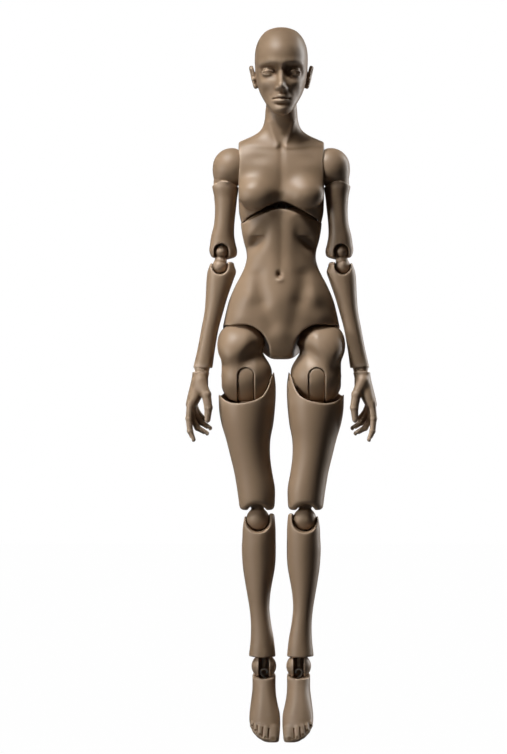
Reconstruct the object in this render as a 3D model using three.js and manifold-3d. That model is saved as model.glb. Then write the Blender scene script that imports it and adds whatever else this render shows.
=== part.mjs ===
// A strung ball-jointed figure body, 600 mm tall, modelled as the castings, cores, hooks and
// elastic cords that it comes apart into. Millimetres, +Z up, the face looks along -Y and the
// figure's own left side is +X. Heights are written from the toe tips, and the finished group
// is lowered so that its origin is the saddle under the crotch, where a doll stand holds it.

import * as THREE from 'three';
import { mergeVertices } from 'three/addons/utils/BufferGeometryUtils.js';
import Module from 'manifold-3d';

const wasm = await Module();
wasm.setup();

// Clearances
const BALL_GAP = 0.15; // least gap between a ball and the cup that it turns in
const FACE_GAP = 0.35; // between two faces that meet
const BEARING_GAP = 0.4; // between a stem or spigot and its hole
const CORD_GAP = 0.6; // round an elastic in a straight bore

// Facets round a limb, a large ball, the ball of the thigh, a small ball, a bore and a cord
const LIMB_SIDES = 12;
const BALL_SIDES = 16;
const THIGH_SIDES = 18;
const SMALL_SIDES = 12;
const BORE_SIDES = 6;
const BALL_ROWS = 0.5; // rows of facets for each side
const CORD_SIDES = 8;

// Lengths from joint to joint, measured upright
const FOOT_HEIGHT = 63.4; // toe tips to ankle
const SHIN_LENGTH = 123.5;
const KNEE_LINK = 17.1; // between the two knobs of the knee
const THIGH_LENGTH = 103; // knee to the ball of the thigh
const HIP_LINK = 18.5; // ball of the thigh to hip
const ABDOMEN_LENGTH = 105.5; // hip to waist
const CHEST_LENGTH = 51.5; // waist to shoulder
const NECK_LENGTH = 54.5; // shoulder to the top of the neck
const HEAD_HEIGHT = 73; // from chin to crown
const CHIN_DROP = 10; // from the neck joint down to the chin
const UPPER_ARM_LENGTH = 70.5;
const ELBOW_LINK = 12.8; // between the two knobs of the elbow
const FOREARM_LENGTH = 86.7;

// Joint centres of the left side, heights from the toe tips
const ANKLE = point(14.6, 1, FOOT_HEIGHT);
const KNEE_LOWER = point(19.7, 0, ANKLE.z + SHIN_LENGTH);
const KNEE_UPPER = point(20.2, 0, KNEE_LOWER.z + KNEE_LINK);
const THIGH = point(29.8, 0, KNEE_UPPER.z + THIGH_LENGTH);
const HIP = point(31.5, 1, THIGH.z + HIP_LINK);
const WAIST = point(0, 0.5, HIP.z + ABDOMEN_LENGTH);
const SHOULDER = point(41.5, 0, WAIST.z + CHEST_LENGTH);
const NECK = point(0, 2.5, SHOULDER.z + NECK_LENGTH);
const ELBOW_UPPER = point(50.4, 0, SHOULDER.z - UPPER_ARM_LENGTH);
const ELBOW_LOWER = point(51.8, 0, ELBOW_UPPER.z - ELBOW_LINK);
const WRIST = point(66.6, 0, ELBOW_LOWER.z - FOREARM_LENGTH);
const CHIN_HEIGHT = NECK.z - CHIN_DROP;
const CROWN_HEIGHT = CHIN_HEIGHT + HEAD_HEIGHT;

// The tables of the foot, torso, chest and head are drawn on a figure of 600 mm. Each pair is a
// height of this figure and the drawn height that it answers to.
const DRAWN = [
  [0, 0],
  [ANKLE.z, 63.4],
  [HIP.z, 325.5],
  [WAIST.z, 431],
  [SHOULDER.z, 482.5],
  [CHIN_HEIGHT, 527],
  [CROWN_HEIGHT, 600],
];

function drawnHeight(z) {
  let i = 1;
  while (i < DRAWN.length - 1 && z > DRAWN[i][0]) i += 1;
  const [low, drawnLow] = DRAWN[i - 1];
  const [high, drawnHigh] = DRAWN[i];
  return drawnLow + ((z - low) * (drawnHigh - drawnLow)) / (high - low);
}

// The saddle lies between the tops of the legs
const SADDLE_DROP = 4.5; // below the hip centres
const SADDLE_HEIGHT = HIP.z - SADDLE_DROP;

// Radii of the balls
const NECK_BALL = 12.6;
const WAIST_DOME = 18.2;
const SHOULDER_BALL = 16;
const SHOULDER_CORE_BALL = 7.5;
const ELBOW_UPPER_BALL = 5.2;
const ELBOW_LOWER_BALL = 6.1;
const WRIST_BALL = 6.6;
const HIP_BALL = 26;
const THIGH_BALL = 22.3;
const KNEE_UPPER_BALL = 9;
const KNEE_LOWER_BALL = 9.7;
const ANKLE_BALL = 10.4;

// Elastic cords
const ARM_CORD = 1.25; // radius
const LEG_CORD = 1.5; // radius
const ARM_BORE = ARM_CORD + CORD_GAP;
const LEG_BORE = LEG_CORD + CORD_GAP;

function point(x, y, z) {
  return new THREE.Vector3(x, y, z);
}

// A closed geometry as a solid that can be joined and cut
function solid(geometry) {
  const bare = geometry.clone();
  for (const name of Object.keys(bare.attributes)) {
    if (name !== 'position') bare.deleteAttribute(name);
  }
  const merged = mergeVertices(bare, 1e-4);
  const corners = merged.index.array;
  const kept = [];
  for (let i = 0; i < corners.length; i += 3) {
    const [a, b, c] = [corners[i], corners[i + 1], corners[i + 2]];
    if (a !== b && b !== c && c !== a) kept.push(a, b, c);
  }
  const mesh = new wasm.Mesh({
    numProp: 3,
    vertProperties: new Float32Array(merged.attributes.position.array),
    triVerts: new Uint32Array(kept),
  });
  return new wasm.Manifold(mesh);
}

function join(...solids) {
  return solids.reduce((all, next) => all.add(next));
}

function cut(body, ...tools) {
  return tools.reduce((left, tool) => left.subtract(tool), body);
}

function common(...solids) {
  return solids.reduce((all, next) => all.intersect(next));
}

// Primitive solids
function ball(centre, radius, sides = BALL_SIDES) {
  const geometry = new THREE.SphereGeometry(radius, sides, Math.round(sides * BALL_ROWS));
  geometry.rotateX(Math.PI / 2);
  return solid(geometry.translate(centre.x, centre.y, centre.z));
}

// A cup for a ball: its facets lie outside the radius and not inside it, so that the ball turns free
function cup(centre, radius, sides = BALL_SIDES) {
  const rows = Math.round(sides * BALL_ROWS);
  return ball(centre, radius / (Math.cos(Math.PI / sides) * Math.cos(Math.PI / rows / 2)), sides);
}

function egg(centre, rx, ry, rz, sides = SMALL_SIDES) {
  const geometry = new THREE.SphereGeometry(1, sides, Math.round(sides * BALL_ROWS));
  geometry.rotateX(Math.PI / 2).scale(rx, ry, rz);
  return solid(geometry.translate(centre.x, centre.y, centre.z));
}

function rod(from, to, radius, endRadius = radius, sides = BORE_SIDES) {
  const along = new THREE.Vector3().subVectors(to, from);
  const geometry = new THREE.CylinderGeometry(endRadius, radius, along.length(), sides);
  geometry.translate(0, along.length() / 2, 0);
  const turn = new THREE.Quaternion().setFromUnitVectors(point(0, 1, 0), along.clone().normalize());
  geometry.applyQuaternion(turn);
  return solid(geometry.translate(from.x, from.y, from.z));
}

// A round hole whose facets lie outside its radius
function hole(from, to, radius, endRadius = radius, sides = BORE_SIDES) {
  const grow = 1 / Math.cos(Math.PI / sides);
  return rod(from, to, radius * grow, endRadius * grow, sides);
}

function straightHole(from, to, radius, sides) {
  return hole(from, to, radius, radius, sides);
}

function block(low, high) {
  const size = new THREE.Vector3().subVectors(high, low);
  const geometry = new THREE.BoxGeometry(size.x, size.y, size.z);
  return solid(geometry.translate((low.x + high.x) / 2, (low.y + high.y) / 2, (low.z + high.z) / 2));
}

// An outline in the front view, drawn as (x, z), made as thick as the depth asks
function frontPrism(shape, yFront, yBack, curveSegments = 10) {
  const depth = yBack - yFront;
  const geometry = new THREE.ExtrudeGeometry(shape, { depth, bevelEnabled: false, curveSegments });
  geometry.rotateX(Math.PI / 2);
  return solid(geometry.translate(0, yBack, 0));
}

// An outline in the side view, drawn as (y, z), made as wide as the span asks
function sidePrism(shape, xFrom, xTo) {
  const geometry = new THREE.ExtrudeGeometry(shape, { depth: xTo - xFrom, bevelEnabled: false });
  geometry.rotateX(Math.PI / 2).rotateZ(Math.PI / 2);
  return solid(geometry.translate(xFrom, 0, 0));
}

function outline(...corners) {
  const shape = new THREE.Shape();
  shape.moveTo(...corners[0]);
  for (const corner of corners.slice(1)) shape.lineTo(...corner);
  shape.closePath();
  return shape;
}

// An arch in the front view: a round top about a centre, with straight sides down to a height
function arch(centre, halfWidth, bottom) {
  const shape = new THREE.Shape();
  shape.moveTo(centre.x - halfWidth, bottom);
  shape.lineTo(centre.x + halfWidth, bottom);
  shape.lineTo(centre.x + halfWidth, centre.z);
  shape.absarc(centre.x, centre.z, halfWidth, 0, Math.PI, false);
  shape.closePath();
  return shape;
}

// A body turned about an axis along X: the radius is a function of x
function turned(centre, from, to, radiusAt, steps, sides = BALL_SIDES) {
  const profile = [];
  for (let i = 0; i <= steps; i++) {
    // Steps crowd towards both ends, where the profile turns fastest
    const x = from + ((to - from) * (1 - Math.cos((Math.PI * i) / steps))) / 2;
    profile.push(new THREE.Vector2(i === 0 || i === steps ? 0 : radiusAt(x), x));
  }
  const geometry = new THREE.LatheGeometry(profile, sides);
  geometry.rotateZ(-Math.PI / 2);
  return solid(geometry.translate(0, centre.y, centre.z));
}

function wheel(centre, radius, halfWidth, sides = BALL_SIDES) {
  const left = point(centre.x - halfWidth, centre.y, centre.z);
  const right = point(centre.x + halfWidth, centre.y, centre.z);
  return rod(left, right, radius, radius, sides);
}

// The value of each column of a list of stations at a place between them, along smooth curves
function between(stations, place) {
  const last = stations.length - 1;
  const clamped = Math.min(Math.max(place, stations[0][0]), stations[last][0]);
  let i = 0;
  while (i < last - 1 && stations[i + 1][0] < clamped) i++;
  const gap = stations[i + 1][0] - stations[i][0];
  const t = (clamped - stations[i][0]) / gap;
  const slope = (k, column) => {
    const before = stations[Math.max(k - 1, 0)];
    const after = stations[Math.min(k + 1, last)];
    return ((after[column] - before[column]) / (after[0] - before[0])) * gap;
  };
  return stations[i].map((value, column) => {
    if (column === 0) return clamped;
    const next = stations[i + 1][column];
    const h = t * t * (3 - 2 * t);
    const a = slope(i, column) * t * (1 - t) * (1 - t);
    const b = slope(i + 1, column) * t * t * (t - 1);
    return value * (1 - h) + next * h + a + b;
  });
}

// A point on the section of a form: an oval whose corners are squarer the higher its power is
function oval(angle, middleX, halfWidth, front, back, power = 2) {
  const c = Math.cos(angle);
  const s = Math.sin(angle);
  const x = Math.sign(c) * Math.abs(c) ** (2 / power);
  const y = Math.sign(s) * Math.abs(s) ** (2 / power);
  return [middleX + halfWidth * x, (front + back) / 2 + ((back - front) / 2) * y];
}

// A closed skin over rings of points: ringPoint gives the point at an angle and a share of the
// way from the bottom ring to the top ring, and the crown lifts the middle of the top
function skin(rings, sides, ringPoint, crown = 0) {
  const positions = [];
  const centres = [point(0, 0, 0), point(0, 0, 0)];
  for (let i = 0; i <= rings; i++) {
    for (let j = 0; j < sides; j++) {
      const p = ringPoint((2 * Math.PI * j) / sides, i / rings);
      positions.push(p.x, p.y, p.z);
      if (i === 0) centres[0].addScaledVector(p, 1 / sides);
      if (i === rings) centres[1].addScaledVector(p, 1 / sides);
    }
  }
  centres[1].z += crown;
  for (const centre of centres) positions.push(centre.x, centre.y, centre.z);
  const faces = [];
  for (let i = 0; i < rings; i++) {
    for (let j = 0; j < sides; j++) {
      const [a, b] = [i * sides + j, i * sides + ((j + 1) % sides)];
      faces.push(a, b, b + sides, a, b + sides, a + sides);
    }
  }
  const [bottom, top] = [(rings + 1) * sides, (rings + 1) * sides + 1];
  for (let j = 0; j < sides; j++) {
    const next = (j + 1) % sides;
    faces.push(bottom, next, j);
    faces.push(top, rings * sides + j, rings * sides + next);
  }
  const geometry = new THREE.BufferGeometry();
  geometry.setAttribute('position', new THREE.Float32BufferAttribute(positions, 3));
  geometry.setIndex(faces);
  return geometry;
}

// A limb between two joint centres. Stations are [share of the way from the upper to the lower
// centre, sideways shift, half width, front, back]. The rims are heights as functions of the angle.
function limb(upper, lower, stations, topRim, bottomRim, rings, sides = LIMB_SIDES, crown = 0) {
  const length = upper.z - lower.z;
  return solid(
    skin(rings, sides, (angle, share) => {
      const z = bottomRim(angle) * (1 - share) + topRim(angle) * share;
      const f = (upper.z - z) / length;
      const [, shift, half, front, back] = between(stations, f);
      const middle = upper.x + (lower.x - upper.x) * f + shift;
      const depth = upper.y + (lower.y - upper.y) * f;
      const [x, y] = oval(angle, middle, half, depth + front, depth + back);
      return point(x, y, z);
    }, crown)
  );
}

// A rim that has its own height at the front, back, outer and inner side of the left limb
function rim(front, back, outer, inner) {
  const mean = (front + back + outer + inner) / 4;
  const twice = (outer + inner - front - back) / 4;
  return (angle) =>
    mean +
    ((outer - inner) / 2) * Math.cos(angle) +
    ((back - front) / 2) * Math.sin(angle) +
    twice * Math.cos(2 * angle);
}

// A rim with two ears: low at front and back, and high at both sides
function earedRim(front, back, ears, from, to) {
  return (angle) => {
    const t = Math.min(Math.max((Math.abs(Math.cos(angle)) - from) / (to - from), 0), 1);
    const low = front + ((back - front) * (1 + Math.sin(angle))) / 2;
    return low + (ears - low) * t * t * (3 - 2 * t);
  };
}

function down(from, distance) {
  return point(from.x, from.y, from.z - distance);
}

// Materials
const resin = () => new THREE.MeshStandardMaterial({ color: 0x8a7460, roughness: 0.42, metalness: 0 });
const steel = () => new THREE.MeshStandardMaterial({ color: 0xb4b4b0, roughness: 0.3, metalness: 1 });
const magnet = () => new THREE.MeshStandardMaterial({ color: 0xc8c8c6, roughness: 0.25, metalness: 1 });
const elastic = () => new THREE.MeshStandardMaterial({ color: 0xe8e6df, roughness: 0.85, metalness: 0 });

const figure = new THREE.Group();

function add(name, body, material) {
  const found = body.getMesh();
  const geometry = new THREE.BufferGeometry();
  geometry.setAttribute('position', new THREE.Float32BufferAttribute(found.vertProperties, 3));
  geometry.setIndex(Array.from(found.triVerts));
  addMesh(name, geometry, material);
}

function addMesh(name, geometry, material) {
  geometry.computeVertexNormals();
  const mesh = new THREE.Mesh(geometry, material);
  mesh.name = name;
  mesh.position.z = -SADDLE_HEIGHT;
  figure.add(mesh);
}

// The same piece for both sides: the left one, and its mirror image in the plane x = 0
function addPair(name, body, material) {
  add(`${name}_left`, body, material());
  add(`${name}_right`, body.mirror([1, 0, 0]), material());
}

// Head
const SKULL_WALL = 3.6;
const SKULL_BASE = CHIN_HEIGHT + 19; // height of the underside at the back
// Drawn height, half width, front, back, power of the oval
const SKULL = [
  [527, 2.5, -24.4, -15, 2],
  [529.5, 6.2, -26.2, -8, 2.1],
  [533, 9.6, -26.6, 0, 2.1],
  [538, 14, -26, 10, 2.1],
  [543, 17.2, -26, 17, 2.1],
  [549, 19.6, -26.3, 23.5, 2.1],
  [556, 21, -26.6, 28, 2.1],
  [564, 21.9, -27, 30, 2.1],
  [573, 22.3, -27.6, 30.5, 2.1],
  [582, 21.5, -25.6, 28, 2.05],
  [589, 19, -21.5, 23.5, 2],
  [594, 15.6, -16.8, 18.4, 2],
  [597.5, 11.2, -11.6, 13, 2],
  [600, 2, -1.6, 2.6, 2],
];
// Strokes on the face: across, height, spread across, spread in height, and how far it comes forward
const FACE_STROKES = [
  [0, 559, 2.6, 8, 2.6], // bridge of the nose
  [0, 552.4, 2.5, 3.2, 5.4], // tip of the nose
  [3.2, 550.8, 1.8, 1.8, 1.9], // wing of the nose
  [10.5, 562.6, 6.2, 4.4, -3.6], // eye socket
  [11.4, 563, 4.4, 2.9, 2.9], // eye ball under its lid
  [0, 541.8, 5.4, 1.5, 1.7], // upper lip
  [0, 537.6, 4.6, 1.7, 1.7], // lower lip
  [0, 534.4, 4.4, 1.5, -1], // dip under the lip
  [0, 530.4, 5, 2.8, 1.2], // chin
  [11.5, 568.4, 6.5, 1.8, 0.9], // brow
];

function faceRelief(x, z) {
  let forward = 0;
  for (const [across, height, wide, tall, depth] of FACE_STROKES) {
    const dz = (drawnHeight(z) - height) / tall;
    const sides = across === 0 ? [0] : [across, -across];
    for (const middle of sides) {
      const dx = (x - middle) / wide;
      forward += depth * Math.exp(-dx * dx - dz * dz);
    }
  }
  return forward;
}

function skull(inset) {
  const bottom = CHIN_HEIGHT + inset;
  const top = CROWN_HEIGHT - inset;
  // The rows lie closer at the crown, and on the plain inner skin at both ends
  const easedOuter = (share) => Math.min(share + 0.06 * Math.sin(Math.PI * share), 1);
  const easedInner = (share) => (1 - Math.cos(Math.PI * share)) / 2;
  const eased = inset > 0 ? easedInner : easedOuter;
  return solid(
    skin(inset > 0 ? 5 : 15, inset > 0 ? 8 : 20, (angle, share) => {
      const z = bottom + (top - bottom) * eased(share);
      const [, half, front, back, power] = between(SKULL, drawnHeight(z));
      const [x, y] = oval(angle, 0, Math.max(half - inset, 1), front + inset, back - inset, power);
      const facing = Math.max(-Math.sin(angle), 0);
      return point(x, inset > 0 ? y : y - faceRelief(x, z) * facing ** 0.5, z);
    })
  );
}

// The cap plane leans back: it passes over the crown and down behind the ears
const CAP_PLANE_TOP = point(0, 1, CROWN_HEIGHT);
const CAP_PLANE_LEAN = 0.3; // how far back it goes for each millimetre down
const CAP_HEIGHT = SKULL_BASE + 6; // the cap stops above the nape
const HALF_SPACE = 60; // reach of the blocks that divide the skull

function skullDivider(gap) {
  const topY = CAP_PLANE_TOP.y + gap;
  const bottomY = topY + CAP_PLANE_LEAN * (CROWN_HEIGHT - CAP_HEIGHT);
  const floor = CAP_HEIGHT + gap;
  const over = 10; // how far the outline passes above the crown
  const shape = outline(
    [topY - CAP_PLANE_LEAN * over, CROWN_HEIGHT + over],
    [bottomY, floor],
    [HALF_SPACE, floor],
    [HALF_SPACE, CROWN_HEIGHT + over]
  );
  return sidePrism(shape, -HALF_SPACE, HALF_SPACE);
}

const MAGNET_RADIUS = 2;
const MAGNET_THICKNESS = 2;
const MAGNET_ACROSS = 15.2;
const MAGNET_HEIGHT = (CAP_HEIGHT + CROWN_HEIGHT) / 2 + 1;
const BOSS_WALL = 1.6;
const BOSS_LENGTH = 5;
const MAGNET_RECESS = 0.3; // how far a magnet lies below its face

// A point beside the cap plane at the magnets' height, at a distance along the plane's normal
function besideCapPlane(distance) {
  const normal = point(0, 1, CAP_PLANE_LEAN).normalize();
  const y = CAP_PLANE_TOP.y + CAP_PLANE_LEAN * (CROWN_HEIGHT - MAGNET_HEIGHT);
  return point(MAGNET_ACROSS, y, MAGNET_HEIGHT).addScaledVector(normal, distance);
}

const EAR_CENTRE = point(23, 4.5, CHIN_HEIGHT + 31);

function ears() {
  const shell = egg(EAR_CENTRE, 3, 4.6, 9.6, 10);
  const hollow = egg(point(EAR_CENTRE.x + 3.4, EAR_CENTRE.y - 1.2, EAR_CENTRE.z + 1.4), 2.2, 2.6, 5.6, 8);
  const ear = cut(shell, hollow);
  return join(ear, ear.mirror([1, 0, 0]));
}

const JAW_SOCKET_SPREAD = 19; // radius of the recess under the jaw, where the neck nods
const HOOK_SLOT_HALF_WIDTH = 3.4;
const HOOK_SLOT_HALF_LENGTH = 5.4;

function buildHead() {
  const outer = join(skull(0), ears());
  const inner = skull(SKULL_WALL);
  const socket = cup(NECK, NECK_BALL + BALL_GAP, SMALL_SIDES);
  const recess = hole(NECK, down(NECK, 30), NECK_BALL + BALL_GAP, JAW_SOCKET_SPREAD, SMALL_SIDES);
  // Behind the jaw the underside rises to the base of the skull
  const below = CHIN_HEIGHT - 10;
  const underside = outline(
    [-9, below],
    [-9, CHIN_HEIGHT + 4],
    [6, SKULL_BASE - 6],
    [HALF_SPACE, SKULL_BASE],
    [HALF_SPACE, below]
  );
  const nape = sidePrism(underside, -HALF_SPACE, HALF_SPACE);
  // A solid floor keeps the cup for the neck, with one slot through it for the hook
  const floorTop = NECK.z + NECK_BALL + SKULL_WALL;
  const cavity = common(inner, block(point(-40, -40, floorTop), point(40, 40, CROWN_HEIGHT)));
  const slot = block(
    point(-HOOK_SLOT_HALF_WIDTH, NECK.y - HOOK_SLOT_HALF_LENGTH, NECK.z),
    point(HOOK_SLOT_HALF_WIDTH, NECK.y + HOOK_SLOT_HALF_LENGTH, floorTop + 1)
  );
  const shell = cut(outer, cavity, socket, recess, nape, slot);
  const bossFront = rod(besideCapPlane(-BOSS_LENGTH), besideCapPlane(0), MAGNET_RADIUS + BOSS_WALL);
  const bossBack = rod(besideCapPlane(0), besideCapPlane(BOSS_LENGTH), MAGNET_RADIUS + BOSS_WALL);
  const depth = MAGNET_THICKNESS + MAGNET_RECESS + FACE_GAP;
  const pocket = rod(besideCapPlane(-depth), besideCapPlane(depth), MAGNET_RADIUS + FACE_GAP);
  const pockets = join(pocket, pocket.mirror([1, 0, 0]));
  const bosses = (boss) => common(join(boss, boss.mirror([1, 0, 0])), outer);
  const beforeCap = skullDivider(-FACE_GAP / 2);
  const behindFace = skullDivider(FACE_GAP / 2);
  const face = join(cut(shell, beforeCap), cut(bosses(bossFront), beforeCap));
  add('head', cut(face, pockets), resin());
  const cap = join(common(shell, behindFace), common(bosses(bossBack), behindFace));
  add('head_cap', cut(cap, pockets), resin());
  const near = FACE_GAP / 2 + MAGNET_RECESS;
  const far = near + MAGNET_THICKNESS;
  addPair('head_magnet', rod(besideCapPlane(-far), besideCapPlane(-near), MAGNET_RADIUS), magnet);
  addPair('cap_magnet', rod(besideCapPlane(near), besideCapPlane(far), MAGNET_RADIUS), magnet);
}

// Chest: shoulders and neck in one casting
// Drawn height, half width, front, back, power of the oval
const CHEST = [
  [430, 33, -19, 19.5, 2.2],
  [437, 34, -19.5, 20, 2.2],
  [445, 35.8, -20.5, 21, 2.3],
  [456, 37.5, -21, 22, 2.4],
  [466, 44, -20.8, 22.5, 2.4],
  [476, 51, -20.3, 22.5, 2.4],
  [485, 54, -19, 22, 2.4],
  [493, 52, -16.2, 20.5, 2.4],
  [498.5, 46, -13, 18.5, 2.3],
  [502.5, 38, -11.2, 17.2, 2.1],
  [506, 30, -9.8, 17, 2],
  [509, 23.5, -9, 16.8, 2],
  [512.5, 18.4, -8.6, 16.6, 2],
  [516.5, 15.6, -8.6, 16.2, 2],
  [522, 14, -9, 15.8, 2],
  [530, 13.3, -9.6, 15.2, 2],
  [537, 12.4, -9.9, 14.9, 2],
];
const ARMHOLE = 35.9; // the plane where the shoulder cap meets the chest
const CHEST_RIM_SIDE = WAIST.z + 6;
const CHEST_RIM_FRONT = CHEST_RIM_SIDE + 19.5;
const CHEST_RIM_BACK = CHEST_RIM_SIDE + 4;
const BREAST_CENTRE = point(18.6, -18.6, WAIST.z + 28);
const BREAST = point(16.4, 12.6, 15.6); // half width, depth and height
const CHEST_CAVITY = 11.5; // radius of the hollow above the waist
const CHEST_CAVITY_TOP = SHOULDER.z + 14.5;
const NECK_BORE = 4.6;

function chestRim(angle) {
  const front = Math.max(-Math.sin(angle), 0);
  const back = Math.max(Math.sin(angle), 0);
  const peak = (CHEST_RIM_FRONT - CHEST_RIM_SIDE) * front ** 1.8;
  return CHEST_RIM_SIDE + peak + (CHEST_RIM_BACK - CHEST_RIM_SIDE) * back;
}

// How far forward the bust comes at a place on the front, or nowhere
function bustFront(x, z) {
  const across = (Math.abs(x) - BREAST_CENTRE.x) / BREAST.x;
  const tall = (z - BREAST_CENTRE.z) / BREAST.z;
  const left = 1 - across * across - tall * tall;
  return left > 0 ? BREAST_CENTRE.y - BREAST.y * Math.sqrt(left) : Infinity;
}

function chestSkin() {
  const top = NECK.z;
  return solid(
    skin(12, 20, (angle, share) => {
      const low = chestRim(angle);
      const z = low + (top - low) * share;
      const [, half, front, back, power] = between(CHEST, drawnHeight(z));
      const [x, y] = oval(angle, 0, half, front, back, power);
      return point(x, y < 0 ? Math.min(y, bustFront(x, z)) : y, z);
    })
  );
}

// The dome of the waist turns about an axis along X, so it is longer sideways than it is high
const WAIST_HALF_LENGTH = 26;
const WAIST_GAP = 0.7; // round the dome, with room for its facets

function waistDome(extra) {
  const reach = WAIST_HALF_LENGTH + extra;
  const radius = WAIST_DOME + extra;
  const radiusAt = (x) => radius * (1 - Math.abs(x / reach) ** 3) ** (1 / 3);
  return turned(WAIST, -reach, reach, radiusAt, 8, BALL_SIDES);
}

function buildChest() {
  const trim = block(
    point(-ARMHOLE, -HALF_SPACE, WAIST.z - HALF_SPACE),
    point(ARMHOLE, HALF_SPACE, CROWN_HEIGHT)
  );
  const outer = common(chestSkin(), trim);
  const crown = ball(NECK, NECK_BALL, SMALL_SIDES);
  const cups = cup(SHOULDER, SHOULDER_BALL + BALL_GAP);
  const cavityTop = point(0, 3, CHEST_CAVITY_TOP);
  const cavity = hole(point(0, 1, WAIST.z), cavityTop, CHEST_CAVITY + 3, CHEST_CAVITY - 3);
  const bore = hole(point(0, 3, CHEST_CAVITY_TOP - 2), point(0, NECK.y, NECK.z + NECK_BALL + 1), NECK_BORE);
  const leftHole = point(ARMHOLE, 0, SHOULDER.z);
  const rightHole = point(-ARMHOLE, 0, SHOULDER.z);
  const cross = hole(rightHole, leftHole, FLANGE_RADIUS + BEARING_GAP);
  const body = cut(join(outer, crown), waistDome(WAIST_GAP), cups, cups.mirror([1, 0, 0]), cavity, bore);
  const inside = block(
    point(-FLANGE_REACH, -HALF_SPACE, SHOULDER.z - HALF_SPACE),
    point(FLANGE_REACH, HALF_SPACE, SHOULDER.z + HALF_SPACE)
  );
  const flangeRoom = common(cross, inside);
  const stemHole = hole(rightHole, leftHole, STEM_RADIUS + BEARING_GAP);
  add('chest', cut(body, flangeRoom, stemHole), resin());
}

// Lower torso: abdomen and pelvis in one casting
// Drawn height, half width, front, back, power of the oval
const LOWER_TORSO = [
  [321, 4, -8, 13, 2.2],
  [323.5, 13, -13, 19, 2.2],
  [328, 28, -16.5, 25, 2.2],
  [335, 46, -18.5, 29, 2.3],
  [344, 50, -20, 30, 2.3],
  [351, 48.5, -21, 29, 2.3],
  [358, 46.2, -21.8, 27.3, 2.25],
  [371, 42, -22, 22.8, 2.2],
  [384, 37, -20.8, 18.8, 2.2],
  [391, 34.2, -20, 17.3, 2.2],
  [398, 31, -19, 16.5, 2.2],
  [405, 29.2, -18.4, 16.4, 2.2],
  [411, 29.6, -18.2, 17, 2.2],
  [421, 31.8, -18.6, 18.4, 2.2],
  [435, 34, -19.2, 19.6, 2.2],
  [448, 34.6, -19.2, 20, 2.2],
];
const ABDOMEN_RIM_SIDE = CHEST_RIM_SIDE - 2.5;
const ABDOMEN_RIM_FRONT = CHEST_RIM_FRONT - 9;
const ABDOMEN_RIM_BACK = CHEST_RIM_BACK - 2.5;
const ABDOMEN_RIM_WALL = 2.6;
const TORSO_WALL = 6;
const TORSO_HOLLOW_TOP = WAIST.z - 23;
const TORSO_HOLLOW_BOTTOM = HIP.z + 26.5;
const TORSO_BORE = 8; // radius of the way up through the abdomen
const HIP_BORE = 6.5; // radius of the way from the hollow into each hip cup

function abdomenRim(angle) {
  const front = Math.max(-Math.sin(angle), 0);
  const back = Math.max(Math.sin(angle), 0);
  const peak = (ABDOMEN_RIM_FRONT - ABDOMEN_RIM_SIDE) * front ** 1.8;
  return ABDOMEN_RIM_SIDE + peak + (ABDOMEN_RIM_BACK - ABDOMEN_RIM_SIDE) * back;
}

function torsoSkin(low, high, inset, rings, sides) {
  return solid(
    skin(rings, sides, (angle, share) => {
      const z = low(angle) + (high(angle) - low(angle)) * share;
      const [, half, front, back, power] = between(LOWER_TORSO, drawnHeight(z));
      const [x, y] = oval(angle, 0, half - inset, front + inset, back - inset, power);
      return point(x, y, z);
    })
  );
}

// The top of the thigh turns about the hip axis, rounder inside and blunter outside
const HIP_FACET = 0.45; // extra room in the cup for the facets of the form
const HIP_INNER = 21.6; // reach of the top form from the hip centre towards the middle
const HIP_OUTER = 22.6; // reach towards the outside

function hipForm(extra) {
  const inner = HIP_INNER + extra;
  const outer = HIP_OUTER + extra;
  const radius = HIP_BALL + extra;
  const radiusAt = (x) => {
    const u = x - HIP.x;
    const reach = u < 0 ? inner : outer;
    const power = u < 0 ? 1.9 : 3;
    return radius * Math.max(1 - Math.abs(u / reach) ** power, 0) ** (1 / power);
  };
  return turned(HIP, HIP.x - inner, HIP.x + outer, radiusAt, 8);
}

// The front outline of the top form, carried straight down, opens the casting for the leg
function legOpening(extra, height, floor) {
  const shape = new THREE.Shape();
  const points = [];
  const steps = 10;
  for (let i = 0; i <= steps; i++) {
    const a = (Math.PI * i) / steps;
    const u = Math.cos(a);
    const power = u < 0 ? 1.9 : 3;
    const reach = (u < 0 ? HIP_INNER : HIP_OUTER) + extra;
    const rise = Math.max(1 - Math.abs(u) ** power, 0) ** (1 / power);
    points.push([HIP.x + u * reach, HIP.z + height * rise]);
  }
  shape.moveTo(points[0][0] + 6, floor);
  shape.lineTo(points[0][0] + 6, HIP.z + height * 0.55);
  for (const [x, z] of points.slice(1)) shape.lineTo(x, z);
  shape.lineTo(points[steps][0], floor);
  shape.closePath();
  return shape;
}

const LEG_OPENING_FRONT = 24.8; // height of the front opening over the hip centre
const LEG_OPENING_BACK = 9; // height of the back opening over the hip centre

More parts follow.
